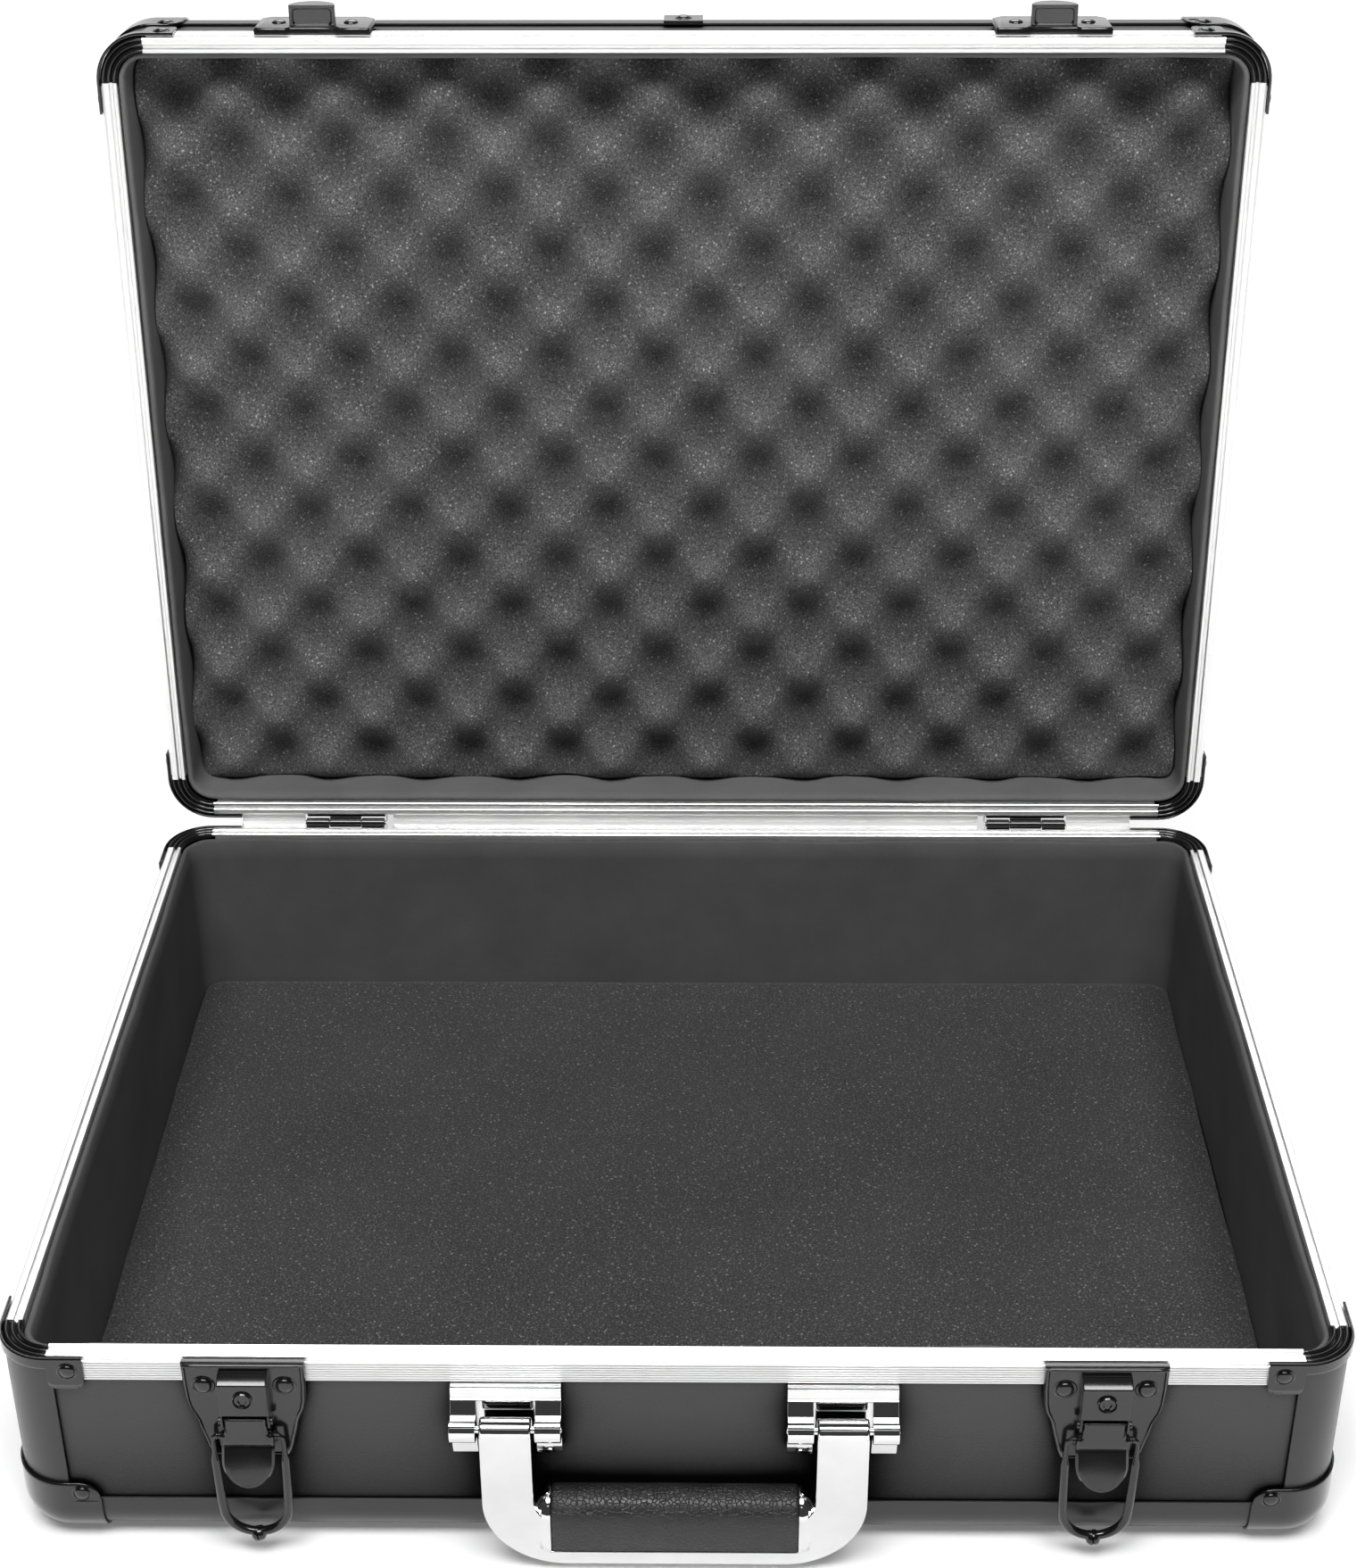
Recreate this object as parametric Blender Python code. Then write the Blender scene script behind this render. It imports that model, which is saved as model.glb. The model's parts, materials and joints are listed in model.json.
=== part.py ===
"""Hard attache case with an aluminium rim, standing open on its corners.

Metres, +Z up. The case lies flat with its front towards -Y and its width along X. The origin is the
centre of the footprint on the floor. The lid stands open on its stop, a little past upright, and the
handle and the two latch bails hang down.

Base and lid are the same kind of tray, so both are built by build_tray in a rim frame of their own: its
origin is the centre of the rim plane and the tray lies below it, along -Z. Distances called "inset" run
from the tray's outer face inwards.
"""

import math

import bmesh
import bpy
from mathutils import Matrix, Vector

# Overall sizes
CASE_WIDTH = 0.460
CASE_DEPTH = 0.3435
BASE_HEIGHT = 0.0847
LID_HEIGHT = 0.0455
CORNER_PROUD = 0.0011
GAP = 0.0003
FRONT = -CASE_DEPTH / 2
REAR = CASE_DEPTH / 2
RIM = CORNER_PROUD + BASE_HEIGHT

# Hinge line, just behind the rear wall at the parting plane
HINGE_BACK = 0.0030
HINGE_Y = REAR + HINGE_BACK
HINGE_Z = RIM + GAP / 2
LID_OPEN = math.radians(93.6)
HINGE_X = 0.1527

# Tray section: outer radii, extrusion sheet, boards, lining
CORNER_RADIUS = 0.018
EDGE_RADIUS = 0.014
EDGE_LEG = 0.0195
SHEET = 0.0009
BOARD_INSET = SHEET + GAP
BOARD = 0.0040
BOARD_END = 0.0132
FIELD_PROUD = 0.0006
FIELD_RADIUS = 0.031
RIM_WIDTH = 0.0068
RIM_WEB = 0.0022
VALANCE = 0.0104
LINING_INSET = RIM_WIDTH + GAP
LINING = 0.0022
LINING_TOP = 0.0020
BASE_PAD = 0.0030
LID_FOAM = 0.0265
ARC_STEPS = 5

# Rim rail: the recessed band above the valance, the inner leg, and the tongue and groove
BAND = 0.0020
BAND_RECESS = 0.0008
RAIL_LEG = 0.0095
RAIL_LEG_SHEET = 0.0011
GROOVE = (0.0036, 0.0052)
GROOVE_DEPTH = 0.0013
TONGUE = (0.0038, 0.0050)
TONGUE_HEIGHT = 0.0009
LIP_LOW = 0.0014
LIP_TOP = 0.0003

# Modelling allowances: how far a cutter runs past what it cuts, and how far joined pieces sink in
PAST = 0.02
SINK = 0.0005

# Corner fittings
PLATE = 0.0008
RIM_CORNER_LEG = 0.0305
RIM_CORNER_DROP = 0.0133
RIM_CORNER_BAND = 0.0046
RIM_SKIRT_TOP = 0.0008
RIM_GROOVE_RADII = (0.0146, 0.0125)
RIM_GROOVE = 0.0010
RIM_RIVET = (0.0253, -0.0055)
BALL_LEG = 0.0300
BALL_HEIGHT = 0.0270
BALL_ROUND = 0.0060
BALL_RIVET = (0.0237, 0.0228)

# Rivet heads
RIVET_RADIUS = 0.0026
LATCH_RIVET_RADIUS = 0.0029
RIVET_HEIGHT = 0.0012
RIVET_SINK = 0.0003
RIVET_TOP = 0.6

# Hinges
LEAF_HALF = 0.0175
LEAF_SHEET = 0.0010
LEAF_NEAR = 0.0026
LEAF_FAR = 0.0240
LEAF_WEB = 0.0030
LEAF_RIVET = (0.0105, 0.0165)
KNUCKLE_OUTER = 0.0021
LID_KNUCKLE_HALF = 0.0070
HINGE_PIN = 0.0010
HINGE_PIN_LENGTH = 0.0360
LIP_SLOT_HALF = 0.0182
LIP_HOLE_OFFSET = 0.0202
LIP_HOLE_HALF = 0.0013

# Latches and keepers
LATCH_X = 0.145
LATCH_FACE = 0.0035
LATCH_PAN = 0.0009
HOUSING_FACE = 0.0080
HOUSING_HALF = 0.0084
HOUSING_LOW = 0.0193
HOUSING_TOP = 0.0012
CHEEK_LOW = 0.0262
LATCH_RIVET = (0.0137, -0.0095)
LOCK_DROP = 0.0116
LOCK_RADIUS = 0.0028
LOCK_FACE = 0.0084
LOCK_LENGTH = 0.0046
KEYWAY_HALF = 0.0005
KEYWAY_DEPTH = 0.0014
LEVER_FACE = 0.0086
LEVER_SHEET = 0.0009
LEVER_TOP = 0.0208
LEVER_CREASE = 0.0325
LEVER_HOLLOW = 0.0022
LEVER_FLARE = 0.0016
LEVER_TONGUE = 0.0195
LEVER_TIP_RADIUS = 0.0088
LEVER_NECK_HALF = 0.0071
LEVER_EAR_HALF = 0.0090
LEVER_EAR_BACK = 0.0046
LEVER_PIN_LENGTH = 0.0176
LEVER_AXIS = (0.0062, 0.0226)
BAIL_AXIS = (0.0060, 0.0296)
BAIL_HALF = 0.0120
BAIL_WIRE = 0.0016
BAIL_DROP = 0.0450
BAIL_BEND = 0.0112
KEEPER_HALF = 0.0228
KEEPER_LOW = 0.0006
KEEPER_HIGH = 0.0242
KEEPER_FACE = 0.0031
KEEPER_BEVEL = 0.0040
KEEPER_RIVET = (0.0142, 0.0115)
HOOD_HALF = 0.0090
HOOD_FACE = 0.0110
HOOD_LOW = 0.0042
HOOD_HIGH = 0.0131
HOOD_SHEET = 0.0010
HOOD_ROUND = 0.0092

# Handle
HANDLE_X = 0.057
HANDLE_AXIS = (0.0088, 0.0235)
STRAP = 0.0176
STRAP_FRONT = 0.0130
STRAP_BACK = 0.0096
HANDLE_LOW = 0.0824
BAR_TOP = 0.0626
GRIP_LENGTH = 0.0852
GRIP_FRONT = 0.0135
GRIP_BACK = 0.0012
GRIP_LOW = 0.0764
GRIP_RADIUS = 0.0084
KNUCKLE_RADIUS = 0.0042
PIN_RADIUS = 0.0013
HANDLE_PIN_LENGTH = 0.0396
BRACKET_HALF = 0.0188
BRACKET_TOP = 0.0108
BRACKET_LOW = 0.0398
OUTER_BEND = 0.028
INNER_FILLET = 0.0085
CORE_FRONT = 0.0112
CORE_BACK = 0.0040
CORE_TOP = 0.0605
GRIP_ROUND_Z = 0.0630

COLOURS = {
    "board": ((0.085, 0.085, 0.087), 0.75, 0.0),
    "black_metal": ((0.055, 0.055, 0.057), 0.42, 0.6),
    "hardware": ((0.030, 0.030, 0.031), 0.35, 0.6),
    "aluminium": ((0.86, 0.86, 0.87), 0.30, 1.0),
    "chrome": ((0.88, 0.88, 0.89), 0.08, 1.0),
    "lining": ((0.075, 0.075, 0.077), 0.90, 0.0),
    "foam": ((0.060, 0.060, 0.062), 0.95, 0.0),
    "leather": ((0.040, 0.040, 0.041), 0.55, 0.0),
}


def clear_scene():
    for obj in list(bpy.data.objects):
        bpy.data.objects.remove(obj, do_unlink=True)


def make_collection(name):
    collection = bpy.data.collections.new(name)
    bpy.context.scene.collection.children.link(collection)
    return collection


clear_scene()
PARTS = make_collection("attache_case")


# Materials and objects


def material_for(kind):
    existing = bpy.data.materials.get(kind)
    if existing:
        return existing
    colour, roughness, metallic = COLOURS[kind]
    material = bpy.data.materials.new(kind)
    material.use_nodes = True
    shader = material.node_tree.nodes["Principled BSDF"]
    shader.inputs["Base Color"].default_value = (*colour, 1.0)
    shader.inputs["Roughness"].default_value = roughness
    shader.inputs["Metallic"].default_value = metallic
    return material


def add_empty(name, location, parent=None, turn_x=0.0):
    empty = bpy.data.objects.new(name, None)
    PARTS.objects.link(empty)
    empty.location = location
    empty.rotation_euler.x = turn_x
    empty.parent = parent
    return empty


def object_from(bm, name):
    bmesh.ops.recalc_face_normals(bm, faces=bm.faces)
    mesh = bpy.data.meshes.new(name)
    bm.to_mesh(mesh)
    bm.free()
    obj = bpy.data.objects.new(name, mesh)
    PARTS.objects.link(obj)
    return obj


def finish(obj, kind, location=(0, 0, 0), parent=None, turn_z=0.0, sharp=35):
    """Gives a finished solid its material, smooth shading and place."""
    obj.data.materials.clear()
    obj.data.materials.append(material_for(kind))
    obj.data.shade_smooth()
    obj.data.set_sharp_from_angle(angle=math.radians(sharp))
    obj.location = location
    obj.rotation_euler.z = turn_z
    obj.parent = parent
    return obj


def copy_of(obj, name, location, parent, turn_z=0.0):
    twin = bpy.data.objects.new(name, obj.data)
    PARTS.objects.link(twin)
    twin.location = location
    twin.rotation_euler.z = turn_z
    twin.parent = parent
    return twin


def move_origin(obj, point):
    """Puts the object's origin at a point of its own mesh, which stays where it is."""
    obj.data.transform(Matrix.Translation(-Vector(point)))
    obj.location = point
    return obj


# Solids


def box(low, high, name="box"):
    bm = bmesh.new()
    bmesh.ops.create_cube(bm, size=1.0)
    size = [h - l for l, h in zip(low, high)]
    centre = [(h + l) / 2 for l, h in zip(low, high)]
    bmesh.ops.scale(bm, vec=size, verts=bm.verts)
    bmesh.ops.translate(bm, vec=centre, verts=bm.verts)
    return object_from(bm, name)


TURNS = {
    "X": Matrix.Rotation(math.radians(90), 4, "Y"),
    "Y": Matrix.Rotation(math.radians(90), 4, "X"),
    "Z": Matrix.Identity(4),
}


def cylinder(centre, radius, length, axis, sides=16, end_radius=None, name="cylinder"):
    bm = bmesh.new()
    top = radius if end_radius is None else end_radius
    bmesh.ops.create_cone(
        bm, cap_ends=True, segments=sides, radius1=radius, radius2=top, depth=length
    )
    bmesh.ops.transform(bm, matrix=TURNS[axis], verts=bm.verts)
    bmesh.ops.translate(bm, vec=centre, verts=bm.verts)
    return object_from(bm, name)


def rivet(spot, face, outward=-1, radius=RIVET_RADIUS):
    """A tapered head at (x, z) on a face that looks along -Y, or along +Y where outward is 1."""
    middle = face + outward * (RIVET_HEIGHT / 2 - RIVET_SINK)
    ends = (radius, radius * RIVET_TOP) if outward < 0 else (radius * RIVET_TOP, radius)
    return cylinder((spot[0], middle, spot[1]), ends[0], RIVET_HEIGHT, "Y", sides=12, end_radius=ends[1])


PLANES = {
    "XY": Matrix.Identity(4),
    "YZ": Matrix(((0, 0, 1, 0), (1, 0, 0, 0), (0, 1, 0, 0), (0, 0, 0, 1))),
    "XZ": Matrix(((1, 0, 0, 0), (0, 0, -1, 0), (0, 1, 0, 0), (0, 0, 0, 1))),
}


def prism(outlines, low, high, plane="XY", name="prism"):
    """Flat outlines in a plane, the later ones holes in the first, drawn out between two distances."""
    curve = bpy.data.curves.new(name, "CURVE")
    curve.dimensions = "2D"
    curve.fill_mode = "BOTH"
    curve.extrude = (high - low) / 2
    for outline in outlines:
        spline = curve.splines.new("POLY")
        spline.points.add(len(outline) - 1)
        for point, (a, b) in zip(spline.points, outline):
            point.co = (a, b, 0.0, 1.0)
        spline.use_cyclic_u = True
    guide = bpy.data.objects.new(name, curve)
    PARTS.objects.link(guide)
    middle = (high + low) / 2
    depth = -middle if plane == "XZ" else middle
    obj = baked(guide)
    obj.data.transform(PLANES[plane] @ Matrix.Translation((0, 0, depth)))
    return obj


def baked(source):
    """Replaces an object, curve or mesh, with the closed mesh that it evaluates to."""
    bpy.context.view_layer.update()
    evaluated = source.evaluated_get(bpy.context.evaluated_depsgraph_get())
    mesh = bpy.data.meshes.new_from_object(evaluated)
    bm = bmesh.new()
    bm.from_mesh(mesh)
    bmesh.ops.remove_doubles(bm, verts=bm.verts, dist=1e-6)
    name = source.name
    bpy.data.objects.remove(source, do_unlink=True)
    bpy.data.meshes.remove(mesh)
    return object_from(bm, name)


def combined(target, tool, operation):
    name = target.name
    modifier = target.modifiers.new("combine", "BOOLEAN")
    modifier.operation = operation
    modifier.solver = "EXACT"
    modifier.object = tool
    result = baked(target)
    bpy.data.objects.remove(tool, do_unlink=True)
    result.name = name
    return result


def cut(target, *tools):
    for tool in tools:
        target = combined(target, tool, "DIFFERENCE")
    return target


def joined(target, *tools):
    for tool in tools:
        target = combined(target, tool, "UNION")
    return target


def kept_inside(target, tool):
    return combined(target, tool, "INTERSECT")


def arc(centre, radius, start, end, steps=ARC_STEPS):
    """Points along an arc, with angles in degrees."""
    angles = [math.radians(start + (end - start) * i / steps) for i in range(steps + 1)]
    return [(centre[0] + radius * math.cos(a), centre[1] + radius * math.sin(a)) for a in angles]


def rounded_rectangle(inset):
    """The tray's plan at an inset, with corners round about the same centres at every inset."""
    return rounded_outline(CASE_WIDTH / 2 - inset, CASE_DEPTH / 2 - inset, CORNER_RADIUS - inset)


def rounded_outline(half_x, half_y, radius):
    points = []
    for quarter, (sx, sy) in enumerate(((1, 1), (-1, 1), (-1, -1), (1, -1))):
        centre = (sx * (half_x - radius), sy * (half_y - radius))
        points += arc(centre, radius, quarter * 90, quarter * 90 + 90)
    return points


def rounded_block(inset, low, high):
    """The tray's outer shape at an inset: round upright corners and a round lower edge."""
    half_x = CASE_WIDTH / 2 - inset
    half_y = CASE_DEPTH / 2 - inset
    bm = bmesh.new()
    bmesh.ops.create_cube(bm, size=1.0)
    bmesh.ops.scale(bm, vec=(2 * half_x, 2 * half_y, high - low), verts=bm.verts)
    bmesh.ops.translate(bm, vec=(0, 0, (high + low) / 2), verts=bm.verts)
    upright = [e for e in bm.edges if abs(e.verts[0].co.z - e.verts[1].co.z) > (high - low) / 2]
    bevel_edges(bm, upright, CORNER_RADIUS - inset)
    floor = [e for e in bm.edges if all(abs(v.co.z - low) < 1e-6 for v in e.verts)]
    bevel_edges(bm, floor, EDGE_RADIUS - inset)
    return object_from(bm, "rounded_block")


def bevel_edges(bm, edges, radius, segments=ARC_STEPS):
    bmesh.ops.bevel(
        bm, geom=edges, offset=radius, offset_type="OFFSET", segments=segments,
        profile=0.5, affect="EDGES", clamp_overlap=False,
    )


# The tray that base and lid share


def tray_panel(name, height, parent):
    """A board with a rebated edge: its raised field fills the window of the edge extrusion."""
    low = -height + BOARD_INSET
    panel = prism([rounded_rectangle(BOARD_END)], low, low + BOARD, name=name)
    half_x = CASE_WIDTH / 2 - EDGE_LEG - GAP
    half_y = CASE_DEPTH / 2 - EDGE_LEG - GAP
    field = prism([rounded_outline(half_x, half_y, FIELD_RADIUS)], low - FIELD_PROUD, low + SINK)
    panel = joined(panel, field)
    panel.name = name
    finish(panel, "board", parent=parent)


def tray_wall_band(name, height, parent, with_posts):
    """The four boards of the wall, and on the shallow lid the four corner posts with them."""
    low, high = -height + BOARD_END, -RIM_WEB - GAP
    outlines = [rounded_rectangle(BOARD_INSET), rounded_rectangle(BOARD_INSET + BOARD)]
    band = prism(outlines, low, high, name=name)
    if with_posts:
        for sx in (-1, 1):
            for sy in (-1, 1):
                post = corner_post_solid(height, BOARD_INSET + GAP)
                post.data.transform(corner_matrix(sx, sy))
                band = joined(band, post)
    finish(band, "black_metal" if with_posts else "board", parent=parent)


def tray_edge_frame(name, height, parent):
    """The rounded edge extrusion around the panel, an angle of thin sheet."""
    low = -height
    frame = rounded_block(0.0, low, low + EDGE_LEG + SHEET)
    frame = cut(frame, rounded_block(SHEET, low + SHEET, 0.0))
    half_x = CASE_WIDTH / 2 - EDGE_LEG
    half_y = CASE_DEPTH / 2 - EDGE_LEG
    window = box((-half_x, -half_y, low - SHEET), (half_x, half_y, low + 2 * SHEET))
    above = box((-CASE_WIDTH, -CASE_DEPTH, low + EDGE_LEG), (CASE_WIDTH, CASE_DEPTH, low + 2 * EDGE_LEG))
    frame = cut(frame, window, above)
    frame.name = name
    finish(frame, "black_metal", parent=parent)


def corner_matrix(sx, sy):
    """Takes a piece modelled at the corner, which points inwards along +X and +Y, to one of the four."""
    turn = {(-1, -1): 0, (1, -1): 90, (1, 1): 180, (-1, 1): 270}[(sx, sy)]
    place = Matrix.Translation((sx * CASE_WIDTH / 2, sy * CASE_DEPTH / 2, 0))
    return place @ Matrix.Rotation(math.radians(turn), 4, "Z")


def corner_outline(outer, inner, leg):
    """An angle of sheet around the corner, from inset outer to inset inner, with legs of one length."""
    centre = (CORNER_RADIUS, CORNER_RADIUS)
    outside = arc(centre, CORNER_RADIUS - outer, 180, 270)
    inside = arc(centre, CORNER_RADIUS - inner, 270, 180)
    return [(outer, leg), *outside, (leg, outer), (leg, inner), *inside, (inner, leg)]


def corner_post_solid(height, thickness):
    low, high = -height + EDGE_LEG + GAP, -RIM_WEB - 2 * GAP
    return prism([corner_outline(0.0, thickness, EDGE_LEG)], low, high, name="corner_post")


def rim_corner_solid():
    """A ribbed quarter ring that carries the rim round the corner, and a skirt with two riveted legs."""
    inner, outer = CORNER_RADIUS - RIM_WIDTH, CORNER_RADIUS - GAP
    centre = (CORNER_RADIUS, CORNER_RADIUS)
    ring = [*arc(centre, outer, 180, 270), *arc(centre, inner, 270, 180)]
    corner = prism([ring], -RIM_WEB, 0.0, name="rim_corner")
    for middle in RIM_GROOVE_RADII:
        far, near = middle + RIM_GROOVE / 2, middle - RIM_GROOVE / 2
        groove = [*arc(centre, far, 170, 280), *arc(centre, near, 280, 170)]
        corner = cut(corner, prism([groove], -RIM_GROOVE, PAST))
    skirt_middle = CORNER_RADIUS + CORNER_PROUD - PLATE / 2
    web = [*arc(centre, skirt_middle, 180, 270), *arc(centre, outer - PLATE, 270, 180)]
    corner = joined(corner, prism([web], -RIM_WEB, -RIM_GROOVE))
    skirt_outline = corner_outline(-CORNER_PROUD, -CORNER_PROUD + PLATE, RIM_CORNER_LEG)
    skirt = prism([skirt_outline], -RIM_CORNER_DROP, -RIM_SKIRT_TOP)
    step = CORNER_RADIUS - PLATE
    under = box((-PAST, -PAST, -PAST), (step, step, -RIM_CORNER_BAND))
    return with_leg_rivets(joined(corner, cut(skirt, under)), RIM_RIVET)


def with_leg_rivets(corner, spot):
    """Adds the two rivet heads of a corner fitting, at (distance from the corner, height)."""
    return joined(
        corner,
        rivet(spot, -CORNER_PROUD),
        mirrored_in_corner(rivet(spot, -CORNER_PROUD)),
    )


def mirrored_in_corner(obj):
    """Swaps X and Y, for the second leg of a corner fitting."""
    swap = Matrix(((0, 1, 0, 0), (1, 0, 0, 0), (0, 0, 1, 0), (0, 0, 0, 1)))
    obj.data.transform(swap)
    obj.data.flip_normals()
    return obj


def ball_corner_solid(height):
    """A pressed cap over the corner of three sides, following its round edges."""
    low = -height
    top = low + BALL_HEIGHT
    cap = rounded_block(-CORNER_PROUD, low - CORNER_PROUD, top + PAST)
    cap = cut(cap, rounded_block(-CORNER_PROUD + PLATE, low - CORNER_PROUD + PLATE, top + 2 * PAST))
    cap.data.transform(Matrix.Translation((CASE_WIDTH / 2, CASE_DEPTH / 2, 0)))
    bm = bmesh.new()
    bmesh.ops.create_cube(bm, size=2.0)
    bmesh.ops.scale(bm, vec=(BALL_LEG, BALL_LEG, BALL_HEIGHT), verts=bm.verts)
    bmesh.ops.translate(bm, vec=(0, 0, low), verts=bm.verts)
    bevel_edges(bm, bm.edges, BALL_ROUND, segments=3)
    cap = kept_inside(cap, object_from(bm, "corner_room"))
    cap = with_leg_rivets(cap, (BALL_RIVET[0], low + BALL_RIVET[1]))
    cap.name = "ball_corner"
    return cap


CORNERS = {
    "front_left": (-1, -1),
    "front_right": (1, -1),
    "rear_right": (1, 1),
    "rear_left": (-1, 1),
}


def place_corners(solid, kind, prefix, suffix, parent, flipped):
    """Sets one solid at the four corners. In the flipped lid, front and rear change places."""
    made = None
    for place, (sx, sy) in CORNERS.items():
        name = f"{prefix}_{suffix}_{place}"
        matrix = corner_matrix(sx, -sy if flipped else sy)
        turn = matrix.to_euler().z
        if made is None:
            solid.name = name
            made = finish(solid, kind, matrix.translation, parent, turn)
        else:
            copy_of(made, name, matrix.translation, parent, turn)


def rail_section(sign, tongue, lip):
    """The rim extrusion, as (inset, height) points turned so that its outer face looks along sign."""
    mates, height = (TONGUE, TONGUE_HEIGHT) if tongue else (GROOVE, -GROOVE_DEPTH)
    lip_end = -HINGE_BACK + GAP
    ledge = [(SHEET, -LIP_LOW), (lip_end, -LIP_LOW), (lip_end, -LIP_TOP), (BAND_RECESS, -LIP_TOP)]
    points = [
        (0.0, -BAND),
        *(ledge if lip else [(BAND_RECESS, -BAND)]),
        (BAND_RECESS, 0.0),
        (mates[0], 0.0),
        (mates[0], height),
        (mates[1], height),
        (mates[1], 0.0),
        (RIM_WIDTH, 0.0),
        (RIM_WIDTH, -RAIL_LEG),
        (RIM_WIDTH - RAIL_LEG_SHEET, -RAIL_LEG),
        (RIM_WIDTH - RAIL_LEG_SHEET, -RIM_WEB),
        (SHEET, -RIM_WEB),
        (SHEET, -VALANCE),
        (0.0, -VALANCE),
    ]
    return [(-sign * inset, z) for inset, z in points]


def straight_rail(name, sign, side_length, tongue, lip):
    """A rail along X. Its valance stops short at both ends, where the corner posts stand."""
    half = side_length / 2 - CORNER_RADIUS - GAP
    rail = prism([rail_section(sign, tongue, lip)], -half, half, "YZ", name)
    for side in (-1, 1):
        low, high = sorted((side * (side_length / 2 - EDGE_LEG - GAP), side * side_length))
        near, far = sorted((-sign * (SHEET + GAP / 2), sign * PAST))
        rail = cut(rail, box((low, near, -PAST), (high, far, -RIM_WEB)))
    return rail


def rail_along_x(name, sign, tongue, lip, parent):
    """A front or rear rail, whose outer face looks along sign times Y."""
    rail = straight_rail(name, sign, CASE_WIDTH, tongue, lip)
    if lip:
        leg_end = CASE_WIDTH / 2 - RIM_CORNER_LEG - GAP
        for side in (-1, 1):
            for middle, half in ((HINGE_X, LIP_SLOT_HALF), (HINGE_X - LIP_HOLE_OFFSET, LIP_HOLE_HALF)):
                rail = cut(rail, lip_cutter(side * middle - half, side * middle + half, sign))
            low, high = sorted((side * leg_end, side * CASE_WIDTH))
            rail = cut(rail, lip_cutter(low, high, sign))
    rail.name = name
    return finish(rail, "aluminium", (0, sign * CASE_DEPTH / 2, 0), parent)


def lip_cutter(low, high, sign):
    near, far = sorted((0.0, sign * PAST))
    return box((low, near, -BAND), (high, far, PAST))


def rail_along_y(name, sign, tongue, parent):
    """A left or right rail, whose outer face looks along sign times X."""
    rail = straight_rail(name, sign, CASE_DEPTH, tongue, False)
    rail.data.transform(Matrix.Rotation(math.radians(-90), 4, "Z"))
    rail.name = name
    return finish(rail, "aluminium", (sign * CASE_WIDTH / 2, 0, 0), parent)


def tray_lining(name, height, parent):
    outlines = [rounded_rectangle(LINING_INSET), rounded_rectangle(LINING_INSET + LINING)]
    low = -height + BOARD_INSET + BOARD + GAP
    finish(prism(outlines, low, -LINING_TOP, name=name), "lining", parent=parent)


def tray_foam(name, height, thickness, parent):
    low = -height + BOARD_INSET + BOARD + GAP
    outline = rounded_rectangle(LINING_INSET + LINING + GAP)
    finish(prism([outline], low, low + thickness, name=name), "foam", parent=parent)


def build_tray(prefix, height, parent, flipped):
    tray_edge_frame(f"{prefix}_edge_frame", height, parent)
    tray_wall_band(f"{prefix}_wall_band", height, parent, with_posts=flipped)
    tray_lining(f"{prefix}_lining", height, parent)
    place_corners(rim_corner_solid(), "hardware", prefix, "rim_corner", parent, flipped)
    place_corners(ball_corner_solid(height), "hardware", prefix, "ball_corner", parent, flipped)
    hinge_side = -1 if flipped else 1
    rail_along_x(f"{prefix}_rail_front", -hinge_side, flipped, False, parent)
    rail_along_x(f"{prefix}_rail_rear", hinge_side, flipped, True, parent)
    rail_along_y(f"{prefix}_rail_left", -1, flipped, parent)
    rail_along_y(f"{prefix}_rail_right", 1, flipped, parent)


# Hinges


def hinge_leaf(name, knuckles, side, parent, location):
    """A leaf on the rear wall. side is -1 below the hinge line and 1 above it."""
    face = -HINGE_BACK + GAP
    back = face + LEAF_SHEET
    low, high = sorted((side * LEAF_NEAR, side * LEAF_FAR))
    leaf = box((-LEAF_HALF, face, low), (LEAF_HALF, back, high), name)
    web_low, web_high = sorted((0.0, side * LEAF_WEB))
    for start, end in knuckles:
        knuckle = cylinder(((start + end) / 2, 0, 0), KNUCKLE_OUTER, end - start, "X")
        web = box((start, face, web_low), (end, back, web_high))
        leaf = joined(leaf, knuckle, web)
    leaf = cut(leaf, cylinder((0, 0, 0), HINGE_PIN + GAP, 4 * LEAF_HALF, "X", sides=12))
    for across in (-LEAF_RIVET[0], LEAF_RIVET[0]):
        leaf = joined(leaf, rivet((across, side * LEAF_RIVET[1]), back, outward=1))
    leaf.name = name
    return finish(leaf, "hardware", location, parent)


def build_hinge(side_name, x, lid_pivot):
    gap_half = LID_KNUCKLE_HALF + GAP
    outer = ((-LEAF_HALF, -gap_half), (gap_half, LEAF_HALF))
    inner = ((-LID_KNUCKLE_HALF, LID_KNUCKLE_HALF),)
    axis = (x, HINGE_Y, HINGE_Z)
    hinge_leaf(f"hinge_base_leaf_{side_name}", outer, -1, None, axis)
    hinge_leaf(f"hinge_lid_leaf_{side_name}", inner, 1, lid_pivot, (x, 0, 0))
    pin = cylinder((0, 0, 0), HINGE_PIN, HINGE_PIN_LENGTH, "X", sides=12, name=f"hinge_pin_{side_name}")
    finish(pin, "hardware", axis)


# Latches: everything below is in the latch's own frame, whose origin is on the case's front plane at
# the height of the rim


def mirror_outline(right):
    """Closes an outline given from the top centre down its right side."""
    return [*right, *[(-x, z) for x, z in reversed(right)]]


def latch_outline(shrink):
    top = -0.0004 - shrink
    return mirror_outline([
        (0.0208 - shrink, top),
        (0.0200 - shrink, -0.0185),
        (0.0175 - shrink, -0.0234),
        (0.0156 - shrink, -0.0330),
        (0.0134 - shrink, -0.0415 + shrink),
    ])


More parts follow.
